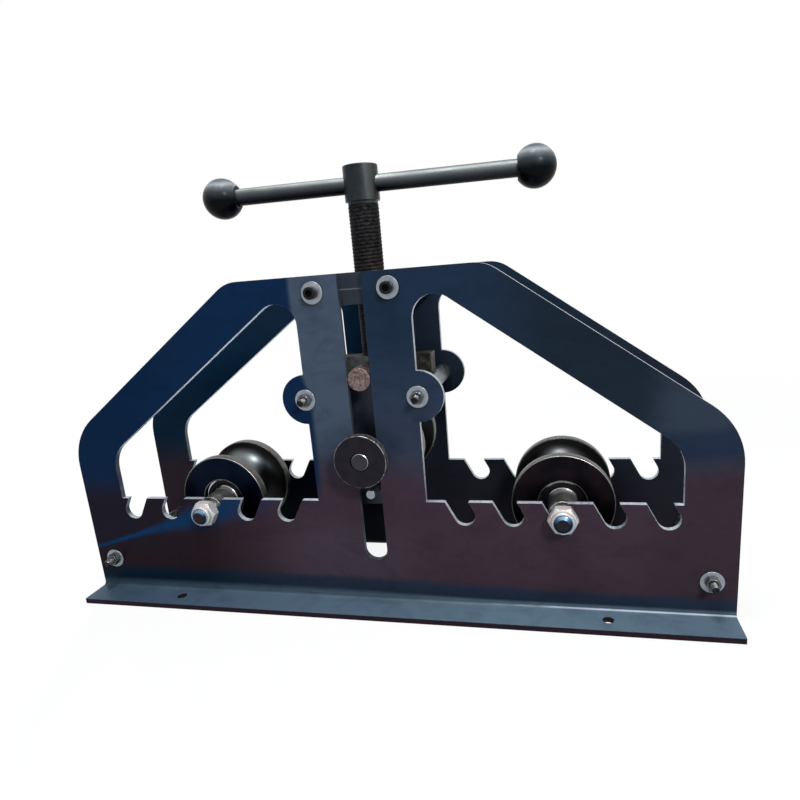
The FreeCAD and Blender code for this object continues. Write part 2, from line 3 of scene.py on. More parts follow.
import bmesh
import bpy
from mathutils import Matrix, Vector


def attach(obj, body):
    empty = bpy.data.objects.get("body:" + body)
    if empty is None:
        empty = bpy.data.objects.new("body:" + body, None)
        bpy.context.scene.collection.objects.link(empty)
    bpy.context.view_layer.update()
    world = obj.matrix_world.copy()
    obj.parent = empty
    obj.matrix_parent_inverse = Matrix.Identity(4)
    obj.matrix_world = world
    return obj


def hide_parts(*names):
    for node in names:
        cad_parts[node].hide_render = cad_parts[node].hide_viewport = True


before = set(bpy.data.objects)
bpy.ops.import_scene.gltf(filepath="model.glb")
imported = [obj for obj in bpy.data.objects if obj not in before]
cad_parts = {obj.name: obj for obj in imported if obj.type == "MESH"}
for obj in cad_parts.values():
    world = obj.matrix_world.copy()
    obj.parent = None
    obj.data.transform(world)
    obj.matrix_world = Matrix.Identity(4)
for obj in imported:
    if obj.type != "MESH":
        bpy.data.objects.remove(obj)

# Looks of the ring roller. Shapes are written in millimetres and turned into metres by MM, and materials
# read places in metres. Sizes named IN and OUT are distances from the machine's middle plane, y = 0.

MM = 0.001

PLATE_IN, PLATE_OUT = 53, 58
FLANGE_TOP, FOLD_TOP, FOOT_END = 12, 14, 287.2
WASHER_OUT = 59.6
TIES = {"left_corner": (-268.8, 34.3), "right_corner": (268.8, 34.3), "left_ear": (-48.0, 187.0),
        "right_ear": (48.0, 187.0)}
STUD_RADIUS, STUD_OUT = 3, 71.5
NUT_WIDTH, NUT_OUT = 10, 64.6
BLOCK_SCREWS = [(-31.2, 273.6), (31.2, 273.6)]
CAP_RADIUS, CAP_OUT, SOCKET_WIDTH = 5, 65.6, 5

SCREW_RADIUS, SCREW_PITCH, NECK_RADIUS = 13, 3.0, 12.6
BAR_TURN = math.radians(4.5)
BAR_MIDDLE = (9.5 * math.cos(BAR_TURN), 9.5 * math.sin(BAR_TURN), 357.5)
BAR_REACH, BAR_RADIUS = 130, 7
KNOB_RADIUS, KNOB_PLACE, KNOB_FLAT = 17, 133.5, -14

PIN_Z, PIN_IN, PIN_RADIUS = 202.3, 9, 9.7
GUIDE_Z, GUIDE_RADIUS = 102.8, 4
SHAFT_Z, LINK_IN, BUSH_OUT = 138.0, 38, 68.2
COLLAR_IN, COLLAR_OUT, COLLAR_RADIUS = 68.5, 76.5, 22.25
ROLLER_HALF, ROLLER_RADIUS = 30, 42.5
GROOVE_RADIUS, GROOVE_CENTRE = 22, 48
AXLE_X, AXLE_Z = 158.4, 85.25
BEARING_OUT, BEARING_IN, BEARING_RADIUS, BEARING_BORE = 27, 15, 20, 8.55
SPACER_IN, SPACER_OUT, SPACER_RADIUS = 27.3, 52.7, 11.5
SHANK_RADIUS, AXLE_THREAD_RADIUS, AXLE_NUT_WIDTH = 8.45, 7, 21
AXLE_NUT_IN, AXLE_NUT_CORNER = 58.3, 12.12

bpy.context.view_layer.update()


# ---------------------------------------------------------------- meshes


def new_object(name, mesh, at=(0, 0, 0), turn=0.0, smooth=32):
    mesh.polygons.foreach_set("use_smooth", [True] * len(mesh.polygons))
    mesh.set_sharp_from_angle(angle=math.radians(smooth))
    item = bpy.data.objects.new(name, mesh)
    bpy.context.scene.collection.objects.link(item)
    item.location = Vector(at) * MM
    item.rotation_euler = (0, 0, turn)
    return item


def join_points(mesh):
    """Joins points that coincide and turns all faces outwards."""
    work = bmesh.new()
    work.from_mesh(mesh)
    bmesh.ops.remove_doubles(work, verts=work.verts, dist=1e-7)
    bmesh.ops.recalc_face_normals(work, faces=work.faces)
    work.to_mesh(mesh)
    work.free()


class Shell:
    """Points and faces of one piece, gathered ring by ring."""

    def __init__(self, axis="Y"):
        self.axis, self.points, self.faces = axis, [], []

    def point(self, along, radius, angle, at):
        across, up = radius * math.cos(angle), radius * math.sin(angle)
        place = {"X": (along, across, up), "Y": (across, along, up), "Z": (across, up, along)}[self.axis]
        self.points.append([(place[i] + at[i]) * MM for i in range(3)])
        return len(self.points) - 1

    def ring(self, along, radius, count, shape, at):
        """Indices of count points round the axis, or of one point repeated where the radius is zero."""
        if radius <= 0:
            return [self.point(along, 0, 0, at)] * count
        angles = [2 * math.pi * i / count for i in range(count)]
        radii = [shape(along, radius, angle) if shape else radius for angle in angles]
        return [self.point(along, reach, angle, at) for reach, angle in zip(radii, angles)]

    def turn(self, profile, count, closed=False, shape=None, at=(0, 0, 0)):
        """Revolves (along, radius) points; shape(along, radius, angle) may reshape the radius."""
        rings = [self.ring(along, radius, count, shape, at) for along, radius in profile]
        for first, second in zip(rings, rings[1:] + ([rings[0]] if closed else [])):
            for i in range(count):
                j = (i + 1) % count
                corners = [first[i], first[j], second[j], second[i]]
                face = [c for n, c in enumerate(corners) if c != corners[n - 1]]
                if len(face) > 2:
                    self.faces.append(face)
        return self

    def item(self, name, at=(0, 0, 0), turn=0.0, smooth=32):
        mesh = bpy.data.meshes.new(name)
        mesh.from_pydata(self.points, [], self.faces)
        join_points(mesh)
        return new_object(name, mesh, at, turn, smooth)


def rounded(corners, steps, closed=False):
    """(along, radius[, round]) corners with each rounded one drawn as a short arc."""
    result, count = [], len(corners)
    for i, corner in enumerate(corners):
        here = Vector(corner[:2])
        if len(corner) < 3 or (not closed and i in (0, count - 1)):
            result.append(tuple(here))
            continue
        back = (Vector(corners[i - 1][:2]) - here).normalized()
        ahead = (Vector(corners[(i + 1) % count][:2]) - here).normalized()
        half = back.angle(ahead) / 2
        reach = corner[2] / math.tan(half)
        start, end = here + back * reach, here + ahead * reach
        centre = here + (back + ahead).normalized() * (corner[2] / math.sin(half))
        for step in range(steps + 1):
            arm = (start - centre).lerp(end - centre, step / steps)
            result.append(tuple(centre + arm.normalized() * corner[2]))
    return result


def spread(profile, step):
    """The profile with long stretches divided, for shapes that vary along them."""
    result = []
    for (a, r), (b, s) in zip(profile, profile[1:]):
        parts = max(1, math.ceil(math.hypot(b - a, s - r) / step))
        result += [(a + (b - a) * k / parts, r + (s - r) * k / parts) for k in range(parts)]
    return result + [profile[-1]]


def six_sided(width, inside=False):
    """Limits a radius to a hexagon with level flats, or widens it to one for a socket."""
    def shape(along, radius, angle):
        flat = width / 2 / math.cos(angle % (math.pi / 3) - math.pi / 6)
        return max(radius, flat) if inside else min(radius, flat)
    return shape


def thread(pitch, depth, outer):
    """A rounded V thread cut into the stretches that have the outside radius."""
    def shape(along, radius, angle):
        if radius != outer:
            return radius
        phase = (along / pitch - angle / (2 * math.pi)) % 1.0
        return radius - depth * (0.5 + 0.5 * math.cos(2 * math.pi * phase)) ** 1.3
    return shape


def cut_below(work, level):
    """Takes away what lies below the level and closes the cut."""
    geometry = work.verts[:] + work.edges[:] + work.faces[:]
    cut = bmesh.ops.bisect_plane(work, geom=geometry, plane_co=(0, 0, level * MM), plane_no=(0, 0, 1),
                                 clear_inner=True)["geom_cut"]
    bmesh.ops.contextual_create(work, geom=[part for part in cut if isinstance(part, bmesh.types.BMEdge)])
    bmesh.ops.recalc_face_normals(work, faces=work.faces)


def softened(node, name, width, segments=2, angle=30, above=None):
    """A copy of a CAD solid, or of its part above a level, with its sharp edges slightly rounded."""
    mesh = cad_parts[node].data.copy()
    mesh.materials.clear()
    work = bmesh.new()
    work.from_mesh(mesh)
    bmesh.ops.remove_doubles(work, verts=work.verts, dist=1e-6)
    if above is not None:
        cut_below(work, above)
    bmesh.ops.dissolve_limit(work, angle_limit=math.radians(0.4), verts=work.verts, edges=work.edges)
    work.to_mesh(mesh)
    work.free()
    item = new_object(name, mesh)
    bevel = item.modifiers.new("edges", "BEVEL")
    bevel.width, bevel.segments, bevel.limit_method = width * MM, segments, "ANGLE"
    bevel.angle_limit, bevel.use_clamp_overlap, bevel.harden_normals = math.radians(angle), True, True
    bpy.context.view_layer.update()
    result = bpy.data.meshes.new_from_object(item.evaluated_get(bpy.context.evaluated_depsgraph_get()))
    item.modifiers.clear()
    box = [[pick(vertex.co[i] for vertex in mesh.vertices) for pick in (min, max)] for i in range(3)]
    for vertex in result.vertices:
        vertex.co = [min(max(value, low), high) for value, (low, high) in zip(vertex.co, box)]
    item.data = result
    return item


def dress(item, body, slot, *looks, replaces=()):
    """Gives a piece its materials and its body; the slot argument is not used. looks: material, (material,
    test), ...
    """
    item.data.materials.clear()
    item.data.materials.append(looks[0])
    for look, test in looks[1:]:
        item.data.materials.append(look)
        index = len(item.data.materials) - 1
        for face in item.data.polygons:
            if test(face.center / MM, face.normal):
                face.material_index = index
    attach(item, body)
    if replaces:
        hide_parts(*replaces)


# ---------------------------------------------------------------- materials


class Look:
    """A node material: a principled shader whose colour, roughness and bump come from nodes."""

    def __init__(self, name):
        self.material = bpy.data.materials.new(name)
        self.material.use_nodes = True
        self.tree = self.material.node_tree
        self.tree.nodes.clear()
        self.shader = self.tree.nodes.new("ShaderNodeBsdfPrincipled")
        self.output = self.tree.nodes.new("ShaderNodeOutputMaterial")
        self.tree.links.new(self.shader.outputs[0], self.output.inputs["Surface"])
        self.place = self.tree.nodes.new("ShaderNodeTexCoord").outputs["Object"]
        self.x, self.y, self.z = self.split(self.place)
        self.up = self.split(self.tree.nodes.new("ShaderNodeNewGeometry").outputs["Normal"])[2]

    def split(self, vector):
        node = self.tree.nodes.new("ShaderNodeSeparateXYZ")
        self.tree.links.new(vector, node.inputs[0])
        return node.outputs

    def put(self, socket, content):
        if isinstance(content, bpy.types.NodeSocket):
            self.tree.links.new(content, socket)
        elif isinstance(content, (tuple, list)) and len(content) == 3 and socket.type == "RGBA":
            socket.default_value = (*content, 1)
        else:
            socket.default_value = content

    def noise(self, size, detail, rough=0.5, stretch=(1, 1, 1), warp=0.0):
        """Noise from 0 to 1 with features about size millimetres across, longer where stretch is."""
        mapping = self.tree.nodes.new("ShaderNodeMapping")
        self.put(mapping.inputs["Vector"], self.place)
        mapping.inputs["Scale"].default_value = [1 / (size * MM * s) for s in stretch]
        node = self.tree.nodes.new("ShaderNodeTexNoise")
        self.put(node.inputs["Vector"], mapping.outputs[0])
        for name, number in (("Scale", 1), ("Detail", detail), ("Roughness", rough), ("Distortion", warp)):
            node.inputs[name].default_value = number
        return node.outputs["Fac"]

    def math(self, kind, a, b=0.0):
        node = self.tree.nodes.new("ShaderNodeMath")
        node.operation = kind
        self.put(node.inputs[0], a)
        self.put(node.inputs[1], b)
        return node.outputs[0]

    def times(self, product, *factors):
        for factor in factors:
            product = self.math("MULTIPLY", product, factor)
        return product

    def off(self, content, middle):
        """How far the content is from the middle."""
        return self.math("ABSOLUTE", self.math("SUBTRACT", content, middle))

    def blend(self, a, b, share):
        """The share of a with the rest of b."""
        return self.math("ADD", self.times(a, share), self.times(b, 1 - share))

    def shifted(self, content, noise, amount):
        """The content moved up and down by noise, by amount in all."""
        return self.math("ADD", content, self.times(self.math("SUBTRACT", noise, 0.5), amount))

    def tilt(self, noise, amount):
        """0 where a face looks down to 1 where it looks up, made uneven by noise."""
        return self.times(self.math("ADD", self.shifted(self.up, noise, amount), 1.0), 0.5)

    def radius(self, axis):
        """Distance from the piece's own axis, Y or Z, in millimetres."""
        other = self.z if axis == "Y" else self.y
        total = self.math("ADD", self.times(self.x, self.x), self.times(other, other))
        return self.times(self.math("SQRT", total), 1 / MM)

    def span(self, content, low, high, to=(0.0, 1.0)):
        """Smoothly maps low..high to the range to."""
        node = self.tree.nodes.new("ShaderNodeMapRange")
        node.interpolation_type = "SMOOTHSTEP"
        for socket, number in zip(node.inputs[:5], (content, low, high, *to)):
            self.put(socket, number)
        return node.outputs[0]

    def mix(self, factor, a, b):
        node = self.tree.nodes.new("ShaderNodeMix")
        node.data_type = "RGBA"
        self.put(node.inputs[0], factor)
        self.put(node.inputs[6], a)
        self.put(node.inputs[7], b)
        return node.outputs[2]

    def ramp(self, factor, *stops):
        node = self.tree.nodes.new("ShaderNodeValToRGB")
        self.put(node.inputs[0], factor)
        elements = node.color_ramp.elements
        while len(elements) < len(stops):
            elements.new(0.5)
        for element, (spot, colour) in zip(elements, stops):
            element.position, element.color = spot, (*colour, 1)
        return node.outputs[0]

    def bumped(self, height, distance, strength, under=None):
        node = self.tree.nodes.new("ShaderNodeBump")
        node.inputs["Distance"].default_value = distance * MM
        node.inputs["Strength"].default_value = strength
        self.put(node.inputs["Height"], height)
        if under is not None:
            self.put(node.inputs["Normal"], under)
        return node.outputs[0]

    def done(self, colour, roughness, normal=None, metallic=0.0, level=0.5):
        self.put(self.shader.inputs["Base Color"], colour)
        self.put(self.shader.inputs["Roughness"], roughness)
        self.put(self.shader.inputs["Metallic"], metallic)
        if normal is not None:
            self.put(self.shader.inputs["Normal"], normal)
        self.shader.inputs["Specular IOR Level"].default_value = level
        return self.material


def paint_finish(look, base, gloss, level):
    """Gloss coat over a base colour: smudges, dust specks, soft waves and fine orange peel."""
    smudge = look.span(look.noise(24, 5, 0.62, (1, 1, 0.55), 0.8), 0.42, 0.70, (0.0, 0.2))
    base = look.mix(smudge, base, (0.003, 0.006, 0.010))
    dust_and_sheen = look.times(look.span(look.noise(2.2, 4, 0.7), 0.66, 0.8), 0.25)
    base = look.mix(dust_and_sheen, base, (0.09, 0.10, 0.11))
    wave = look.bumped(look.noise(60, 1, 0.4), 0.5, 0.2)
    peel = look.bumped(look.noise(1.6, 2, 0.5), 0.02, 0.3, wave)
    rough = look.span(look.noise(35, 4, 0.6), 0.3, 0.75, (gloss, gloss + 0.12))
    return look.done(base, rough, peel, level=level)


def painted_flange_reflection(look):
    """Painted reflection on the foot flange: slate blue, palest right of the middle."""
    along = look.shifted(look.x, look.noise(45, 3), 0.1)
    return look.ramp(look.math("ADD", look.times(along, 1.7), 0.5),
                     (0.07, (0.036, 0.060, 0.090)), (0.30, (0.058, 0.090, 0.128)),
                     (0.75, (0.086, 0.132, 0.172)), (0.96, (0.074, 0.112, 0.150)))


def painted_plate_reflections(look, x, z):
    """Painted reflections of sky and ground in the gloss paint: a brown-violet sill below slate arms, with a
    dull left, a paler patch, a dark right arm and its end.
    """
    height = look.times(z, 1 / 0.3)
    base = look.ramp(height, (0.17, (0.037, 0.0225, 0.033)), (0.36, (0.037, 0.0230, 0.034)),
                     (0.46, (0.024, 0.034, 0.058)), (0.62, (0.019, 0.031, 0.055)),
                     (0.78, (0.0104, 0.021, 0.042)))
    dull = look.times(look.span(x, -0.05, -0.20), look.span(z, 0.13, 0.10), 0.7)
    base = look.mix(dull, base, (0.003, 0.0, 0.001))
    patch = look.times(look.span(look.off(x, -0.03), 0.09, 0.02), look.span(z, 0.085, 0.05), 0.5)
    base = look.mix(patch, base, (0.050, 0.040, 0.055))
    # a darker painted reflection over the right arm
    shade = look.times(look.span(x, 0.09, 0.16), look.span(z, 0.135, 0.165), 0.93)
    base = look.mix(shade, base, (0.0075, 0.0135, 0.0225))
    end = look.ramp(height, (0.38, (0.031, 0.0195, 0.0275)), (0.42, (0.024, 0.023, 0.036)),
                    (0.46, (0.0118, 0.0195, 0.040)), (0.512, (0.0115, 0.020, 0.040)),
                    (0.54, (0.022, 0.032, 0.050)))
    return look.mix(look.span(x, 0.215, 0.245), base, end)


def painted_left_reflections(look, base, x, z):
    """Painted reflections: the pale column left of the slot, the deep blue left of it and the dark lower left
    corner.
    """
    edge = look.math("ADD", look.x, look.span(look.z, 0.225, 0.18, (0.0, -0.008)))
    column = look.times(look.span(edge, -0.055, -0.049), look.span(look.x, 0.0, -0.01),
                        look.span(z, 0.115, 0.16))
    base = look.mix(column, base, (0.046, 0.066, 0.098))
    left = look.times(look.span(edge, -0.049, -0.055), look.span(z, 0.085, 0.12), 0.97)
    blue = look.mix(look.span(x, -0.23, -0.14), (0.0004, 0.0118, 0.0420), (0.0026, 0.0150, 0.0475))
    base = look.mix(left, base, blue)
    corner = look.times(look.span(x, -0.19, -0.26), look.span(z, 0.115, 0.075),
                        look.span(look.z, 0.040, 0.054), 0.5)
    return look.mix(corner, base, (0.0035, 0.0075, 0.020))


def painted_reflection_streak(look):
    """Share of the painted blue reflection streak that climbs from the front plate's left end and widens on
    its way.
    """
    line = look.math("ADD", look.times(look.x, 0.294), 0.1300)
    reaches = ((0.12, 0.022), (0.17, 0.020), (0.20, 0.010), (0.235, 0.0042), (0.26, 0.0034))
    reach = look.ramp(look.times(look.x, -1.0), *((spot, (size,) * 3) for spot, size in reaches))
    return look.times(look.span(look.off(look.z, line), reach, 0.0), look.span(look.x, -0.055, -0.16),
                      look.span(look.y, 0.001, -0.001, (0.0, 0.92)))


def outer_paint():
    """Outer faces of the side plates, coloured with painted reflections of sky and ground, with painted
    reflection tones along the foot at the bottom.
    """
    look = Look("plate_paint")
    drift = look.noise(150, 2, 0.45, (1.5, 1, 0.8), 0.6)
    x, z = look.shifted(look.x, drift, 0.05), look.shifted(look.z, drift, 0.05)
    base = painted_left_reflections(look, painted_plate_reflections(look, x, z), x, z)
    # painted blue reflection streak
    base = look.mix(painted_reflection_streak(look), base, (0.0010, 0.029, 0.090))
    ragged = look.shifted(look.z, look.noise(9, 3), 0.006)
    ragged = look.math("ADD", ragged, look.span(look.x, -0.10, 0.20, (0.0, 0.006)))
    # painted reflection tones along the foot, darker on the left
    foot = look.mix(look.span(look.x, -0.20, -0.06), (0.0024, 0.010, 0.022), (0.014, 0.023, 0.041))
    base = look.mix(look.span(ragged, 0.029, 0.022), base, foot)
    # the fold takes the flange's painted reflection; the lowest strip is brownish
    bend = look.span(look.x, -0.08, 0.12, (0.0150, 0.0105))
    base = look.mix(look.span(look.z, bend, 0.0072), base, painted_flange_reflection(look))
    base = look.mix(look.math("LESS_THAN", look.z, 0.0045), base, (0.017, 0.009, 0.014))
    return paint_finish(look, base, 0.24, 0.03)


def inner_paint():
    """Inner faces with painted reflections: darker and bluer on the left, a bright painted blue sky
    reflection just left of the middle, and brown low down.
    """
    look = Look("plate_paint_inner")
    base = look.ramp(look.times(look.z, 1 / 0.29), (0.0, (0.0145, 0.0116, 0.016)),
                     (0.4, (0.0116, 0.0145, 0.0218)), (1.0, (0.0116, 0.0218, 0.0377)))
    blue = look.mix(look.span(look.x, -0.22, -0.08), (0.0010, 0.0160, 0.041), (0.0058, 0.0150, 0.033))
    # painted bright blue sky reflection just left of the middle
    blue = look.mix(look.span(look.x, -0.055, -0.040), blue, (0.0040, 0.034, 0.085))
    low = look.mix(look.span(look.x, -0.19, -0.205), (0.0010, 0.0018, 0.006), (0.0200, 0.0120, 0.0180))
    change = look.span(look.x, -0.19, -0.205, (0.105, 0.085))
    left = look.mix(look.span(look.z, change, 0.13), low, blue)
    base = look.mix(look.times(look.span(look.x, 0.012, -0.006), 0.92), base, left)
    return paint_finish(look, base, 0.26, 0.03)


def flange_paint():
    """Tops of the foot flanges, with a painted highlight line along the right half of the fold and painted
    shade darkening the fold above the flange.
    """
    look = Look("plate_paint_flange")
    highlight_reach = look.shifted(look.x, look.noise(30, 3), 0.12)
    # painted highlight line along the fold
    line = look.times(look.span(look.z, 0.0052, 0.0058), look.span(look.z, 0.0068, 0.0060),
                      look.span(highlight_reach, 0.10, 0.17, (0.0, 0.9)))
    # painted shade on the upper part of the fold
    bend = look.span(look.z, 0.0051, 0.0062, (0.0, 0.38))
    tone = look.mix(bend, painted_flange_reflection(look), (0.002, 0.003, 0.004))
    return paint_finish(look, look.mix(line, tone, (0.42, 0.47, 0.56)), 0.3, 0.1)


def cut_edge():
    """Laser-cut edge: pale, partly its bare metal and partly painted sky reflection, finely striated across
    the plate, with painted pale bluish light underneath and painted shade in the guide slot and where it
    stands upright at the left end."""
    look = Look("cut_edge")
    stripe, cloud = look.noise(0.55, 2, 0.6, (1, 40, 1)), look.noise(14, 3, 0.6)
    colour = look.ramp(look.blend(stripe, cloud, 0.5), (0.3, (0.16, 0.18, 0.21)), (0.5, (0.34, 0.37, 0.41)),
                       (0.72, (0.54, 0.57, 0.60)))
    # painted pale bluish light on faces that look down
    colour = look.mix(look.span(look.up, -0.35, -0.6, (0.0, 0.6)), colour, (0.62, 0.72, 0.90))
    # painted shade where the edge stands upright at the left end
    steep = look.span(look.x, -0.225, -0.24, (0.6, 0.95))
    upright = look.times(look.span(look.math("ABSOLUTE", look.up), steep, 0.3),
                         look.span(look.x, -0.20, -0.215), 0.85)
    colour = look.mix(upright, colour, (0.020, 0.030, 0.046))
    # painted shade inside the guide slot
    slot = look.times(look.span(look.math("ABSOLUTE", look.x), 0.018, 0.016),
                      look.span(look.z, 0.030, 0.040), 0.9)
    colour = look.mix(slot, colour, (0.018, 0.027, 0.042))
    return look.done(colour, look.span(cloud, 0.3, 0.7, (0.32, 0.5)), look.bumped(stripe, 0.05, 0.5),
                     metallic=0.35)


def worked(look, dark, pale, grain, size, clouds):
    """A fine grain, larger clouds and the tone that both make together."""
    fine, cloud = look.noise(size, 4, 0.65, grain), look.noise(clouds, 4, 0.6)
    return fine, cloud, look.ramp(look.blend(fine, cloud, 0.45), (0.32, dark), (0.68, pale))


def metal(name, dark, pale, rough, metallic=1.0, grain=(1, 1, 1), size=1.2, depth=0.015, clouds=12,
          spots=None, level=0.5):
    """Worked metal, with spots of another colour if given."""
    look = Look(name)
    fine, cloud, colour = worked(look, dark, pale, grain, size, clouds)
    if spots:
        hue, amount = spots
        spotted = look.span(look.noise(clouds * 0.4, 5, 0.7), 0.62 - amount * 0.3, 0.72)
        colour = look.mix(spotted, colour, hue)
    shine = look.span(cloud, 0.3, 0.75, (max(rough - 0.09, 0.05), rough + 0.1))
    return look.done(colour, shine, look.bumped(fine, depth, 0.6), metallic, level)


def head_steel():
    """Turned head of the screw: brown-grey, with faint upright scratches and one painted highlight band
    upright on its front.
    """
    look = Look("screw_head_steel")
    fine, cloud, colour = worked(look, (0.009, 0.014, 0.019), (0.026, 0.030, 0.034), (1, 1, 30), 0.6, 22)
    # painted highlight: a pale upright band on the front of the head
    highlight_band = look.times(look.span(look.off(look.times(look.x, 1 / MM), 10.5), 4.5, 1.0),
                      look.math("LESS_THAN", look.y, 0.0), 0.85)
    colour = look.mix(highlight_band, colour, (0.062, 0.068, 0.064))
    rough = look.span(cloud, 0.3, 0.75, (0.27, 0.46))
    return look.done(colour, rough, look.bumped(fine, 0.015, 0.6), 0.7, 0.15)


def bar_steel():
    """Drawn bar with painted light: pale on top, dark underneath, with its painted top highlight dimmer and
    its surface rougher along its right half.
    """
    look = Look("bar_steel")
    fine, cloud = look.noise(0.5, 4, 0.65, (30, 1, 1)), look.noise(26, 4, 0.6)
    tilt = look.tilt(cloud, 0.3)
    # painted light: faces that look up are pale, faces that look down dark
    colour = look.ramp(tilt, (0.12, (0.005, 0.005, 0.007)), (0.31, (0.016, 0.017, 0.022)),
                       (0.43, (0.036, 0.040, 0.045)), (0.55, (0.055, 0.062, 0.065)),
                       (0.68, (0.088, 0.098, 0.100)), (0.80, (0.15, 0.16, 0.16)),
                       (0.90, (0.36, 0.38, 0.38)), (0.99, (0.13, 0.14, 0.14)))
    colour = look.mix(look.times(look.span(fine, 0.55, 0.75), 0.3), colour, (0.004, 0.004, 0.005))
    # the right half's painted top highlight is dimmed
    right_half = look.span(look.x, 0.0, 0.03)
    colour = look.mix(look.times(right_half, look.span(tilt, 0.75, 0.9, (0.25, 0.7))), colour,
                      (0.075, 0.083, 0.085))
    rough = look.math("ADD", look.span(cloud, 0.3, 0.75, (0.38, 0.5)), look.times(right_half, 0.08))
    return look.done(colour, rough, look.bumped(fine, 0.015, 0.5), 0.95, 0.1)


def ball_plastic():
    """Polished black moulding with handling marks and a painted highlight on its upper side."""
    look = Look("ball_plastic")
    smear = look.noise(9, 5, 0.65, (1, 1, 1), 0.8)
    fine = look.span(look.noise(0.8, 3, 0.7), 0.6, 0.8)
    colour = look.mix(look.times(fine, 0.3), (0.0010, 0.0015, 0.003), (0.02, 0.02, 0.022))
    # painted highlight: a pale band on faces that look up, strongest just below the top
    dust_and_sheen = look.ramp(look.tilt(smear, 0.22), (0.42, (0.0006, 0.0010, 0.002)), (0.52, (0.012, 0.016, 0.021)),
                     (0.63, (0.031, 0.038, 0.042)), (0.74, (0.105, 0.12, 0.13)),
                     (0.82, (0.26, 0.285, 0.295)), (0.92, (0.07, 0.08, 0.085)))
    rough = look.span(smear, 0.35, 0.75, (0.24, 0.36))
    return look.done(look.mix(0.9, colour, dust_and_sheen), rough, look.bumped(smear, 0.02, 0.2), level=0.06)


def bare_steel():
    """Crosshead bar of bare steel, pale in the middle from painted light, scaled and greenish brown towards
    its ends.
    """
    look = Look("bare_steel")
    cloud, fine = look.noise(5, 5, 0.65), look.noise(0.9, 4, 0.65)
    # painted light: the middle is paler than the ends
    middle = look.ramp(cloud, (0.35, (0.24, 0.27, 0.25)), (0.65, (0.48, 0.50, 0.47)))
    ends = look.ramp(cloud, (0.35, (0.020, 0.019, 0.015)), (0.55, (0.036, 0.035, 0.029)),
                     (0.75, (0.085, 0.084, 0.074)))
    colour = look.mix(look.span(look.math("ABSOLUTE", look.x), 0.012, 0.034), middle, ends)
    return look.done(colour, look.span(cloud, 0.3, 0.7, (0.4, 0.6)), look.bumped(fine, 0.03, 0.6), 0.6, 0.2)


def screw_thread():
    """Worn dark thread: crests rubbed lighter, grease in the roots and brownish low down."""
    look = Look("screw_thread")
    worn = look.times(look.span(look.radius("Z"), 12.5, 12.98),
                      look.span(look.noise(3.2, 4, 0.7, (1, 1, 0.6)), 0.42, 0.62), 0.8)
    colour = look.mix(worn, (0.0030, 0.0035, 0.0050), (0.030, 0.029, 0.027))
    low = look.times(look.span(look.z, 0.31, 0.28), look.span(look.z, 0.26, 0.275),
                     look.span(look.noise(6, 3), 0.35, 0.6), 0.6)
    colour = look.mix(low, colour, (0.04, 0.027, 0.017))
    grit = look.noise(0.9, 4, 0.7)
    return look.done(colour, look.span(grit, 0.3, 0.7, (0.55, 0.75)), look.bumped(grit, 0.12, 0.8), 0.5, 0.1)


def roller_steel(name, face_dark, face_pale, groove_highlight):
    """Blued turned roller: near-black faces, a groove with a painted highlight on its upper side, lands worn
    bright and a painted highlight on the top of the lip.
    """
    look = Look(name)
    radius = look.radius("Y")
    cloud, ring = look.noise(16, 3, 0.5), look.noise(1.3, 3, 0.5, (40, 1, 40))
    face = look.mix(look.span(cloud, 0.35, 0.7), face_dark, face_pale)
    groove = look.ramp(look.blend(ring, cloud, 0.35), (0.35, (0.004, 0.0045, 0.005)),
                       (0.65, (0.009, 0.0095, 0.010)))
    # painted highlight on the upper side of the groove
    groove = look.mix(look.span(look.shifted(look.up, cloud, 0.08), 0.42, 0.88), groove, groove_highlight)
    rim = look.math("LESS_THAN", look.math("ABSOLUTE", look.times(look.y, 1 / MM)), ROLLER_HALF - 0.4)
    side = look.math("SUBTRACT", 1.0, rim)
    colour = look.mix(rim, face, groove)
    patchy = look.span(look.noise(5, 5, 0.65, (1, 1.6, 1)), 0.28, 0.55, (0.35, 1.0))
    land = look.times(look.span(radius, 41.2, 42.2), patchy)
    colour = look.mix(look.times(land, 0.85), colour, (0.13, 0.13, 0.12))
    # painted highlight along the top of the lip
    lip = look.times(look.span(radius, 41.6, 42.1), side, look.span(look.up, 0.05, 0.4), 0.8)
    colour = look.mix(lip, colour, (0.42, 0.41, 0.39))
    bore = look.times(look.span(look.off(radius, 20.3), 0.65, 0.4), side,
                      look.span(patchy, 0.35, 1.0, (0.4, 0.85)))
    colour = look.mix(bore, colour, (0.22, 0.215, 0.21))
    worn = look.mix(land, look.span(ring, 0.3, 0.7, (0.34, 0.39)), (0.4, 0.4, 0.4))
    return look.done(colour, look.mix(rim, (0.38, 0.38, 0.38), worn), look.bumped(ring, 0.012, 0.35), 0.95)


def collar_steel():
    """Dark turned disc, its rim rubbed bright, with painted light on its upper side and faint turning rings.
    """
    look = Look("collar_steel")
    rings = look.noise(0.9, 2, 0.6, (1, 30, 1))
    wear = look.span(look.noise(3.2, 5, 0.7), 0.36, 0.6)
    colour = look.ramp(look.noise(11, 4, 0.6), (0.35, (0.008, 0.008, 0.014)), (0.7, (0.016, 0.013, 0.018)))
    # painted light on faces that look up
    colour = look.mix(look.span(look.up, 0.2, 0.7, (0.0, 0.8)), colour, (0.055, 0.056, 0.058))
    rim = look.times(look.span(look.radius("Y"), 21.5, 22.0), wear, 0.85)
    colour = look.mix(rim, colour, (0.38, 0.37, 0.35))
    return look.done(colour, look.span(rings, 0.3, 0.7, (0.28, 0.42)), look.bumped(rings, 0.015, 0.4), 0.85)


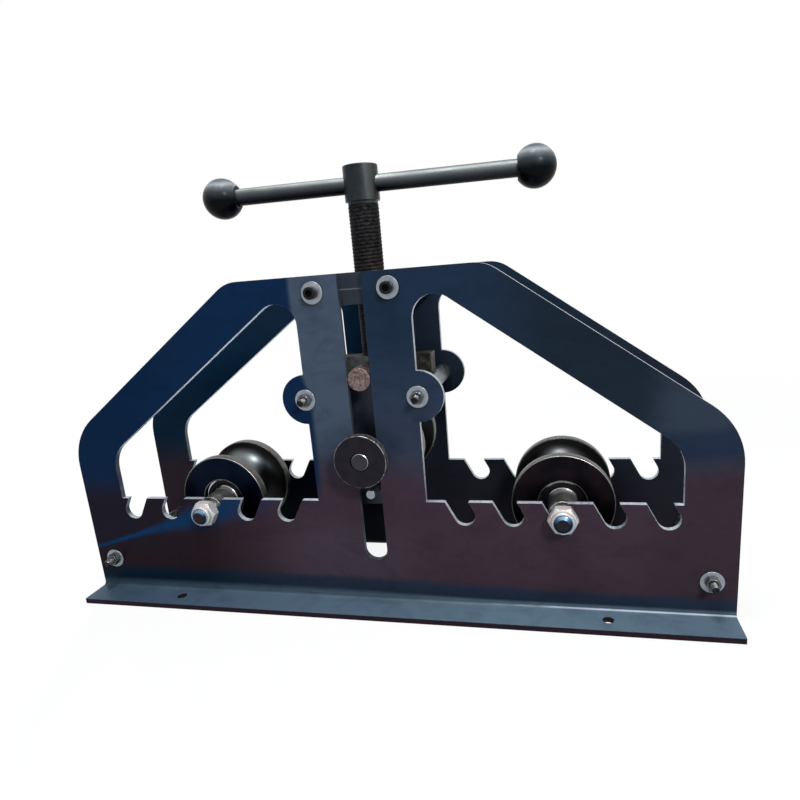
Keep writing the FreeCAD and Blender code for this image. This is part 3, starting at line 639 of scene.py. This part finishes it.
def tinted_zinc(name):
    """Bright zinc plate with a faint blue, pink and straw tint."""
    look = Look(name)
    hue = look.noise(3.2, 3, 0.6, (1, 1, 1), 1.5)
    colour = look.ramp(hue, (0.30, (0.24, 0.38, 0.41)), (0.42, (0.45, 0.49, 0.48)),
                       (0.55, (0.50, 0.48, 0.46)), (0.66, (0.48, 0.24, 0.25)))
    dull = look.times(look.span(look.noise(1.4, 4, 0.7), 0.5, 0.75), 0.5)
    colour = look.mix(dull, colour, (0.24, 0.20, 0.20))
    fine = look.noise(0.5, 4, 0.7)
    return look.done(colour, look.span(fine, 0.3, 0.7, (0.45, 0.6)), look.bumped(fine, 0.03, 0.6), 0.5)


def bolt_end():
    """Axle end: dark oily face inside a bevel with a painted blue reflection on top."""
    look = Look("bolt_end")
    fine = look.noise(0.5, 4, 0.7)
    face = look.mix(look.span(fine, 0.35, 0.7), (0.006, 0.005, 0.009), (0.022, 0.018, 0.024))
    # painted blue reflection on the upper side of the bevel
    bevel = look.ramp(look.up, (0.10, (0.006, 0.009, 0.020)), (0.45, (0.035, 0.085, 0.16)),
                      (0.62, (0.13, 0.24, 0.33)))
    colour = look.mix(look.span(look.radius("Y"), 4.7, 5.1), face, bevel)
    return look.done(colour, look.span(fine, 0.3, 0.7, (0.3, 0.45)), look.bumped(fine, 0.01, 0.5), 0.6, 0.2)


def block_paint():
    """Nut block: two layers of slightly different tone with a pale seam between them."""
    look = Look("block_paint")
    height, seam_height = look.times(look.z, 1 / MM), 274.3
    tone = look.noise(20, 3)
    lower = look.ramp(tone, (0.35, (0.014, 0.018, 0.026)), (0.65, (0.020, 0.025, 0.034)))
    upper = look.ramp(tone, (0.35, (0.013, 0.018, 0.028)), (0.65, (0.020, 0.026, 0.036)))
    colour = look.mix(look.span(height, seam_height - 0.2, seam_height + 0.2), lower, upper)
    seam = look.times(look.math("LESS_THAN", look.off(height, seam_height), 0.45), 0.7)
    colour = look.mix(seam, colour, (0.09, 0.11, 0.13))
    rough = look.span(tone, 0.3, 0.7, (0.28, 0.42))
    return look.done(colour, rough, look.bumped(look.noise(1.5, 2), 0.02, 0.3), level=0.15)


PAINT = outer_paint()
PAINT_INNER = inner_paint()
PAINT_FLANGE = flange_paint()
EDGE = cut_edge()
BLOCK = block_paint()
ZINC = metal("zinc_plate", (0.15, 0.175, 0.20), (0.36, 0.39, 0.43), 0.4, size=0.6, clouds=6)
DULL_ZINC = metal("dull_zinc", (0.045, 0.05, 0.055), (0.15, 0.155, 0.16), 0.38, size=0.6, clouds=4)
NUT_ZINC = tinted_zinc("nut_zinc")
BLACK = metal("black_oxide", (0.003, 0.004, 0.006), (0.014, 0.016, 0.021), 0.3, 0.7, size=0.5, clouds=5,
              level=0.3)
# painted shade: near-black inside the screw sockets
SOCKET_SHADE = metal("socket_painted_shade", (0.0008, 0.0008, 0.001), (0.0025, 0.0025, 0.003), 0.5, 0.4, size=0.5,
               level=0.1)
HEAD = head_steel()
THREAD = screw_thread()
BAR = bar_steel()
BALL = ball_plastic()
BARE = bare_steel()
RUSTED = metal("pin_steel", (0.045, 0.028, 0.025), (0.30, 0.225, 0.215), 0.5, 0.7, size=1.6, depth=0.05,
               clouds=4.5, spots=((0.045, 0.022, 0.016), 0.55), level=0.2)
DARK = metal("dark_steel", (0.017, 0.021, 0.034), (0.042, 0.052, 0.072), 0.42, 0.6, size=0.9, depth=0.03,
             level=0.2)
BUSH = metal("bush_steel", (0.10, 0.10, 0.105), (0.24, 0.24, 0.25), 0.38)
COLLAR = collar_steel()
BRIGHT = metal("bright_steel", (0.24, 0.24, 0.25), (0.50, 0.50, 0.52), 0.3, grain=(30, 1, 30), size=0.5)
SHAFT = metal("shaft_steel", (0.022, 0.022, 0.030), (0.045, 0.045, 0.058), 0.38, 0.9, size=0.5)
BLUED = roller_steel("blued_steel", (0.0035, 0.003, 0.005), (0.010, 0.006, 0.009), (0.085, 0.090, 0.092))
# the left roller's copy: bluer faces and a brighter painted groove highlight
BLUED_LEFT = roller_steel("blued_steel_left", (0.0005, 0.0035, 0.014), (0.002, 0.005, 0.014),
                          (0.17, 0.185, 0.19))
RING = metal("bearing_steel", (0.42, 0.42, 0.43), (0.70, 0.70, 0.71), 0.2, size=0.4, clouds=9)
SHIELD = metal("bearing_shield", (0.006, 0.006, 0.008), (0.02, 0.02, 0.024), 0.4, 0.7, size=0.5, clouds=6,
               level=0.2)
SPACER = metal("spacer_steel", (0.12, 0.122, 0.115), (0.36, 0.36, 0.35), 0.4, grain=(30, 1, 30), size=0.6)
BOLT_END = bolt_end()
INSERT = metal("nut_insert", (0.05, 0.13, 0.26), (0.12, 0.25, 0.42), 0.35, 0.0, size=0.6, clouds=5)


# ---------------------------------------------------------------- side plates and nut block
# Tests on faces take a face's centre c, in millimetres, and its normal n.


def flange_top(c, n):
    return n.z > 0.12 and c.z < FLANGE_TOP


def laser_cut(c, n):
    """Faces across the plate's thickness, apart from the flange's top, bend and long edge."""
    along_foot = c.z < FOLD_TOP and abs(c.x) < FOOT_END
    return abs(n.y) < 0.6 and not flange_top(c, n) and not along_foot


def side_plates():
    for side, sign in (("front", -1), ("rear", 1)):
        skin = softened(side + "_side_plate", side + "_plate_skin", 0.4)
        dress(skin, "frame", "plate_paint", PAINT,
              (PAINT_INNER, lambda c, n, s=sign: n.y * s < -0.7 and c.z > 5),
              (PAINT_FLANGE, flange_top), (EDGE, laser_cut), replaces=(side + "_side_plate",))
    block = softened("nut_block", "nut_block_skin", 0.5)
    dress(block, "frame", "block_paint", BLOCK, replaces=("nut_block",))


# ---------------------------------------------------------------- ties and block screws


def ring_profile(start, end, outer, inner, edge):
    return rounded([(start, inner), (start, outer, edge), (end, outer, edge), (end, inner)], 3, True)


def nut_profile(start, end, width, bore):
    """A nut's section: chamfered outside on both faces, countersunk bore."""
    corner, face, slope, sink = width / 2 / math.cos(math.pi / 6), width / 2 * 0.96, 0.6, 0.5
    rise = (corner - face) * slope
    outside = [(start, face), (start + rise, corner), (end - rise, corner), (end, face)]
    inside = [(end, bore + sink), (end - sink, bore), (start + sink, bore)]
    return [(start, bore + sink), *spread(outside, width / 14), *inside]


def stud_profile():
    """A threaded stud's section: a dimple in each end, a chamfer, and rings close enough for the thread."""
    start, step = STUD_OUT - 0.8, 0.125
    half = [(-STUD_OUT, 0), (0.6 - STUD_OUT, 1.5), (-STUD_OUT, 1.7), (-STUD_OUT, 2.3), (-start, STUD_RADIUS)]
    half += [(t * step - start, STUD_RADIUS) for t in range(1, 62)] + [(-62.9, STUD_RADIUS)]
    return half + [(-along, radius) for along, radius in reversed(half)]


def add_washer(shell, sign, at):
    shell.turn(ring_profile(sign * PLATE_OUT, sign * WASHER_OUT, 9, 3.1, 0.35), 56, True, at=at)


def frame_ties():
    for name, (x, z) in TIES.items():
        tube = Shell().turn(ring_profile(-PLATE_IN, PLATE_IN, 7.5, 3.3, 0.3), 48, True)
        dress(tube.item(name + "_tube", (x, 0, z)), "frame", "zinc_plate", ZINC,
              replaces=(name + "_spacer_tube",))
    washers, nuts, studs = Shell(), Shell(), Shell()
    for x, z in TIES.values():
        for sign in (-1, 1):
            add_washer(washers, sign, (x, 0, z))
            start, end = sorted((sign * WASHER_OUT, sign * NUT_OUT))
            nuts.turn(nut_profile(start, end, NUT_WIDTH, STUD_RADIUS), 72, True, six_sided(NUT_WIDTH),
                      (x, 0, z))
        studs.turn(stud_profile(), 24, False, thread(1.0, 0.5, STUD_RADIUS), (x, 0, z))
    dress(washers.item("tie_washer_set"), "frame", "zinc_plate", ZINC, replaces=("tie_washers",))
    dress(nuts.item("tie_nut_set", smooth=25), "frame", "zinc_plate", DULL_ZINC, replaces=("tie_nuts",))
    dress(studs.item("tie_stud_set"), "frame", "zinc_plate", DULL_ZINC,
          (BLACK, lambda c, n: abs(c.y) > STUD_OUT - 0.65 and abs(n.y) > 0.5), replaces=("tie_studs",))


def cap_shape(along, radius, angle):
    """Fine knurls round a cap screw's head, and the hexagon of its socket."""
    if radius > CAP_RADIUS - 0.4:
        return radius - 0.12 * (0.5 + 0.5 * math.cos(angle * 36)) * (abs(along) < CAP_OUT - 0.6)
    return six_sided(SOCKET_WIDTH, True)(along, radius, angle) if radius == SOCKET_WIDTH / 2 else radius


def in_socket(c, n):
    away = min(math.hypot(c.x - x, c.z - z) for x, z in BLOCK_SCREWS)
    return abs(c.y) < CAP_OUT - 0.1 and away < 2.95


def block_fasteners():
    washers, screws = Shell(), Shell()
    for x, z in BLOCK_SCREWS:
        for sign in (-1, 1):
            add_washer(washers, sign, (x, 0, z))
            head = rounded([(sign * WASHER_OUT, 0), (sign * WASHER_OUT, CAP_RADIUS, 0.15),
                            (sign * CAP_OUT, CAP_RADIUS, 0.5), (sign * CAP_OUT, 2.9, 0.1),
                            (sign * 65.2, SOCKET_WIDTH / 2), (sign * 62.6, SOCKET_WIDTH / 2),
                            (sign * 62.2, 0)], 3)
            screws.turn(head, 144, False, cap_shape, (x, 0, z))
    dress(washers.item("block_washer_set"), "frame", "zinc_plate", ZINC, replaces=("block_washers",))
    dress(screws.item("block_screw_set", smooth=40), "frame", "black_oxide", BLACK, (SOCKET_SHADE, in_socket),
          replaces=("block_screws",))


# ---------------------------------------------------------------- lead screw and tommy bar


def lead_screw():
    """The head with its neck, and a thread from the journal at the foot up to the neck."""
    head = softened("lead_screw", "screw_head", 0.4, above=341.5)
    dress(head, "screw", "screw_steel", HEAD, replaces=("lead_screw",))
    foot, top, step = 215.4, 340.4, 0.25
    turns = range(1, round((top - foot) / step) - 1)
    profile = [(205.5, 0), (205.5, 5.6), (206, 6), (214.5, 6), (214.5, 12.0), (foot, SCREW_RADIUS)]
    profile += [(foot + t * step, SCREW_RADIUS) for t in turns] + [(top, SCREW_RADIUS)]
    profile += [(341.0, NECK_RADIUS), (342.2, NECK_RADIUS), (342.2, 0)]
    screw = Shell("Z").turn(profile, 64, False, thread(SCREW_PITCH, 0.35, SCREW_RADIUS))
    dress(screw.item("screw_thread", smooth=60), "screw", "screw_steel", THREAD)


def knob_profile(sign):
    """A ball with a small flat and a recess where the bar goes in."""
    angles = [math.radians(degrees) for degrees in range(0, 145, 4)]
    arc = [(KNOB_RADIUS * math.cos(a), KNOB_RADIUS * math.sin(a)) for a in angles]
    flat = rounded([arc[-1], (KNOB_FLAT, 9.75, 0.35), (KNOB_FLAT, 7.5, 0.3), (KNOB_FLAT + 0.6, 7.05)], 3)
    half = arc + flat[1:] + [(-3.5, 7.05), (-3.5, 0)]
    return [(along * sign, radius) for along, radius in half]


def tommy_bar():
    bar = rounded([(-BAR_REACH, 0), (-BAR_REACH, BAR_RADIUS, 0.6), (BAR_REACH, BAR_RADIUS, 0.6),
                   (BAR_REACH, 0)], 3)
    bar = Shell("X").turn(spread(bar, 12), 64).item("tommy_bar_rod", BAR_MIDDLE, BAR_TURN)
    dress(bar, "tommy_bar", "bar_steel", BAR, replaces=("tommy_bar",))
    ahead = Vector((math.cos(BAR_TURN), math.sin(BAR_TURN), 0))
    for side, sign in (("left", -1), ("right", 1)):
        place = Vector(BAR_MIDDLE) + sign * KNOB_PLACE * ahead
        knob = Shell("X").turn(knob_profile(sign), 72).item(side + "_ball", place, BAR_TURN, 45)
        dress(knob, "tommy_bar", "ball_plastic", BALL, replaces=(side + "_knob",))


# ---------------------------------------------------------------- carriage


def carriage_side(side, sign):
    """Guide pin, link, slot bush, guide stud and collar of one side."""
    pin = rounded([(sign * PIN_IN, 0), (sign * PIN_IN, PIN_RADIUS), (sign * PLATE_OUT, PIN_RADIUS, 0.8),
                   (sign * PLATE_OUT, 1.4), (sign * (PLATE_OUT - 0.8), 0)], 3)
    pin = Shell().turn(spread(pin, 8), 64).item(side + "_pin", (0, 0, PIN_Z))
    dress(pin, "carriage", "pin_steel", RUSTED, replaces=(side + "_guide_pin",))
    plate = softened(side + "_link", side + "_link_plate", 0.5)
    dress(plate, "carriage", "dark_steel", DARK, replaces=(side + "_link",))
    bush = Shell().turn(ring_profile(sign * LINK_IN, sign * BUSH_OUT, PIN_RADIUS, 8.05, 0.4), 64, True)
    dress(bush.item(side + "_bush", (0, 0, SHAFT_Z)), "carriage", "bush_steel", BUSH,
          replaces=(side + "_slot_bush",))
    stud = rounded([(sign * LINK_IN, 0), (sign * LINK_IN, GUIDE_RADIUS),
                    (sign * PLATE_OUT, GUIDE_RADIUS, 0.7), (sign * PLATE_OUT, 1.2),
                    (sign * (PLATE_OUT - 0.6), 0)], 3)
    stud = Shell().turn(spread(stud, 5), 40).item(side + "_stud", (0, 0, GUIDE_Z))
    dress(stud, "carriage", "zinc_plate", ZINC, replaces=(side + "_guide_stud",))
    disc = rounded([(sign * COLLAR_IN, 8.0), (sign * COLLAR_IN, COLLAR_RADIUS, 0.7),
                    (sign * COLLAR_OUT, COLLAR_RADIUS, 0.7), (sign * COLLAR_OUT, 8.0)], 4, True)
    disc = Shell().turn(disc, 96, True).item(side + "_disc", (0, 0, SHAFT_Z))
    dress(disc, "centre_roller", "collar_steel", COLLAR, replaces=(side + "_collar",))


def carriage():
    cross = softened("crosshead", "crosshead_bar", 0.7, 3)
    dress(cross, "carriage", "bare_steel", BARE, replaces=("crosshead",))
    for side, sign in (("front", -1), ("rear", 1)):
        carriage_side(side, sign)
    shaft = softened("centre_shaft", "centre_shaft_bar", 0.25, 2, 20)
    dress(shaft, "centre_roller", "bright_steel", SHAFT,
          (BRIGHT, lambda c, n: c.y < -75 and 0.25 < abs(n.y) < 0.97), replaces=("centre_shaft",))


# ---------------------------------------------------------------- rollers and axles


def groove_profile(inside):
    """Section of a roller: its bore as given, its faces and lands, and the round groove between them."""
    lip, steps = math.asin((GROOVE_CENTRE - ROLLER_RADIUS) / GROOVE_RADIUS), 36
    angles = [lip + (math.pi - 2 * lip) * k / steps for k in range(steps + 1)]
    arc = [(GROOVE_RADIUS * math.cos(a), GROOVE_CENTRE - GROOVE_RADIUS * math.sin(a)) for a in angles]
    land = rounded([(ROLLER_HALF, BEARING_RADIUS), (ROLLER_HALF, ROLLER_RADIUS, 1.0),
                    (arc[0][0], ROLLER_RADIUS, 0.5), arc[1]], 4)
    left = [(-along, radius) for along, radius in reversed(land)]
    return inside + land[1:-1] + arc[1:-1] + left[1:-1]


def roller(name, inside, at):
    return Shell().turn(groove_profile(inside), 128, True).item(name, at, 0, 40)


def races(side, x):
    """The two bearings of a lower roller, each with a dished shield between its rings."""
    shell = Shell()
    for end in (-1, 1):
        near, far = end * BEARING_OUT, end * BEARING_IN
        dish = [(0, 12.8), (0.3, 13.15), (0.95, 13.3), (0.7, 14.4), (0.7, 16.6), (0.95, 17.5), (0.3, 17.9),
                (0, 18.2)]
        ring = [(near, 19.6), (near - end * 0.4, BEARING_RADIUS), (far, BEARING_RADIUS), (far, BEARING_BORE),
                (near - end * 0.3, BEARING_BORE), (near, 8.9)]
        shell.turn(ring + [(near - end * depth, radius) for depth, radius in dish], 96, True)
    shielded = (SHIELD, lambda c, n: abs(n.y) > 0.5 and BEARING_OUT - 1 < abs(c.y) < BEARING_OUT - 0.05 and
                13.0 < math.hypot(c.x, c.z) < 18.0)
    dress(shell.item(side + "_races", (x, 0, AXLE_Z), 0, 30), side + "_roller", "bearing_steel", RING,
          shielded, replaces=(side + "_bearings",))


def axle_spacers(side, x):
    shell = Shell()
    for end in (-1, 1):
        shell.turn(ring_profile(end * SPACER_IN, end * SPACER_OUT, SPACER_RADIUS, 8.6, 0.6), 64, True)
    dress(shell.item(side + "_spacers", (x, 0, AXLE_Z)), side + "_axle", "spacer_steel", SPACER,
          replaces=(side + "_axle_spacers",))


def axle(side, x):
    """A bolt with a hexagonal head at the rear and a threaded end at the front."""
    bolt = Shell()
    profile = [(-73.8, 0), (-73.8, 1.6), (-73.8, 4.8), (-73.6, 5.1), (-71.9, 6.9)]
    profile += [(-71.8 + t * 0.25, AXLE_THREAD_RADIUS) for t in range(1, 55)]
    profile += [(-PLATE_OUT, AXLE_THREAD_RADIUS), (-PLATE_OUT, 8.1), (0.4 - PLATE_OUT, SHANK_RADIUS)]
    profile += [(y, SHANK_RADIUS) for y in (-40, -20, 0, 20, 40, 58.6)] + [(58.6, 0)]
    bolt.turn(profile, 48, False, thread(2.0, 1.0, AXLE_THREAD_RADIUS))
    head = spread([(AXLE_NUT_IN, 0), (AXLE_NUT_IN, 10.1), (59.2, AXLE_NUT_CORNER), (67.2, AXLE_NUT_CORNER),
                   (68.3, 10.1), (68.3, 0)], 1.6)
    bolt.turn(head, 96, False, six_sided(AXLE_NUT_WIDTH))
    dress(bolt.item(side + "_bolt", (x, 0, AXLE_Z), 0, 28), side + "_axle", "bright_steel", BRIGHT,
          (BOLT_END, lambda c, n: c.y < -71.9), (DULL_ZINC, lambda c, n: -62 < c.y < -56),
          replaces=(side + "_axle",))


def lock_nut(side, x):
    """A domed lock nut with its blue insert."""
    outside = spread([(-AXLE_NUT_IN, 10.2), (-59.3, AXLE_NUT_CORNER), (-65.6, AXLE_NUT_CORNER), (-67.3, 9.9)],
                     1.0)
    dome = rounded([(-67.3, 9.9), (-67.5, 9.5, 0.2), (-70.2, 9.3, 1.4), (-71.3, 8.2, 0.4), (-71.3, 7.6)], 5)
    section = [(-AXLE_NUT_IN, 7.6), *outside, *dome[1:], (-70.8, 7.05), (-59, 7.05)]
    nut = Shell().turn(section, 96, True, six_sided(AXLE_NUT_WIDTH))
    dress(nut.item(side + "_nut", (x, 0, AXLE_Z), 0, 28), side + "_axle", "nut_zinc", NUT_ZINC,
          replaces=(side + "_lock_nut",))
    ring = [(-71.25, 7.95), (-71.35, 7.8), (-71.3, 7.3), (-70.9, 7.06), (-70.2, 7.2), (-70.2, 7.8)]
    ring = Shell().turn(ring, 64, True)
    dress(ring.item(side + "_nut_insert", (x, 0, AXLE_Z)), side + "_axle", "nut_zinc", INSERT)


def rollers():
    plain = [(-ROLLER_HALF, 8.05), (ROLLER_HALF, 8.05)]
    dress(roller("centre_roller_body", plain, (0, 0, SHAFT_Z)), "centre_roller", "blued_steel", BLUED,
          replaces=("centre_roller",))
    half_seat = [(15, 17), (15, BEARING_RADIUS), (29.7, BEARING_RADIUS), (ROLLER_HALF, 20.3)]
    seat = [(-along, radius) for along, radius in reversed(half_seat)] + half_seat
    for side, sign, blued in (("left", -1, BLUED_LEFT), ("right", 1, BLUED)):
        x = sign * AXLE_X
        dress(roller(side + "_roller_body", seat, (x, 0, AXLE_Z)), side + "_roller", "blued_steel", blued,
              replaces=(side + "_roller",))
        for make in (races, axle_spacers, axle, lock_nut):
            make(side, x)


# ---------------------------------------------------------------- surroundings


def background_rays(tree):
    """One for a camera, glossy or transmission ray, and nought for the rays that carry light."""
    path = tree.nodes.new("ShaderNodeLightPath")
    total = path.outputs["Is Camera Ray"]
    for kind in ("Is Glossy Ray", "Is Transmission Ray"):
        node = tree.nodes.new("ShaderNodeMath")
        node.operation = "MAXIMUM"
        tree.links.new(total, node.inputs[0])
        tree.links.new(path.outputs[kind], node.inputs[1])
        total = node.outputs[0]
    return total


def shader_mix(tree, share, first, second, output):
    """Shows the second shader by the share, and the first for the rest."""
    blend = tree.nodes.new("ShaderNodeMixShader")
    for socket, source in zip(blend.inputs, (share, first, second)):
        tree.links.new(source, socket)
    tree.links.new(blend.outputs[0], output.inputs["Surface"])


def floor_look():
    """Pale floor that takes the object's shadow near it and is white to the camera further out."""
    look = Look("pale_floor")
    look.done(look.mix(look.noise(400, 2), (0.70, 0.70, 0.70), (0.74, 0.74, 0.74)), 0.9, level=0.0)
    glow = look.tree.nodes.new("ShaderNodeEmission")
    glow.inputs["Color"].default_value = (1, 1, 1, 1)
    share = look.times(background_rays(look.tree), look.span(look.radius("Z"), 450, 1300, (0.9, 1.0)))
    shader_mix(look.tree, share, look.shader.outputs[0], glow.outputs[0], look.output)
    return look.material


def floor():
    half = 30
    mesh = bpy.data.meshes.new("floor")
    corners = [(-half, -half, 0), (half, -half, 0), (half, half, 0), (-half, half, 0)]
    mesh.from_pydata(corners, [], [(0, 1, 2, 3)])
    mesh.materials.append(floor_look())
    item = bpy.data.objects.new("floor", mesh)
    item.location.z = -0.0002
    bpy.context.scene.collection.objects.link(item)


def studio():
    """A dim room, paler overhead, that camera, glossy and transmission rays see as white."""
    world = bpy.data.worlds.new("studio")
    bpy.context.scene.world = world
    world.use_nodes = True
    tree = world.node_tree
    tree.nodes.clear()
    split = tree.nodes.new("ShaderNodeSeparateXYZ")
    tree.links.new(tree.nodes.new("ShaderNodeTexCoord").outputs["Generated"], split.inputs[0])
    sky = tree.nodes.new("ShaderNodeValToRGB")
    tree.links.new(split.outputs[2], sky.inputs[0])
    elements = sky.color_ramp.elements
    elements[0].position, elements[0].color = 0.0, (0.06, 0.06, 0.065, 1)
    elements[1].position, elements[1].color = 0.8, (0.50, 0.54, 0.60, 1)
    elements.new(0.35).color = (0.13, 0.14, 0.17, 1)
    room, white = (tree.nodes.new("ShaderNodeBackground") for _ in range(2))
    tree.links.new(sky.outputs[0], room.inputs[0])
    white.inputs[0].default_value = (1, 1, 1, 1)
    output = tree.nodes.new("ShaderNodeOutputWorld")
    shader_mix(tree, background_rays(tree), room.outputs[0], white.outputs[0], output)


def lamp(name, at, aim, size, power, colour=(1, 1, 1), sheen=True):
    """A square lamp, size across; without sheen it doesn't show in reflections."""
    light = bpy.data.lights.new(name, "AREA")
    light.shape, light.size, light.size_y = "RECTANGLE", size, size
    light.energy, light.color = power, colour
    item = bpy.data.objects.new(name, light)
    item.location = at
    item.visible_glossy = sheen
    item.rotation_euler = (Vector(aim) - Vector(at)).to_track_quat("-Z", "Y").to_euler()
    bpy.context.scene.collection.objects.link(item)


def camera():
    data = bpy.data.cameras.new("view")
    data.sensor_width, data.lens = 36.0, 27.02
    data.shift_x, data.shift_y = -0.0175, 0.0217
    data.clip_start, data.clip_end = 0.02, 100
    item = bpy.data.objects.new("view", data)
    item.location = (0.15833, -0.51298, 0.28618)
    item.rotation_euler = [math.radians(a) for a in (76.0499, 4.5467, 13.0316)]
    bpy.context.scene.collection.objects.link(item)
    bpy.context.scene.camera = item


side_plates()
frame_ties()
block_fasteners()
lead_screw()
tommy_bar()
carriage()
rollers()
floor()
studio()
lamp("top", (0.05, -0.25, 1.25), (0, 0, 0.12), 0.28, 10, (0.97, 0.99, 1.0))
lamp("key", (0.8, -1.0, 1.0), (0, 0, 0.15), 0.25, 15)
lamp("back", (-0.7, 1.1, 0.9), (0, 0, 0.12), 0.3, 14, sheen=False)
camera()
bpy.context.scene.view_settings.view_transform = "Standard"
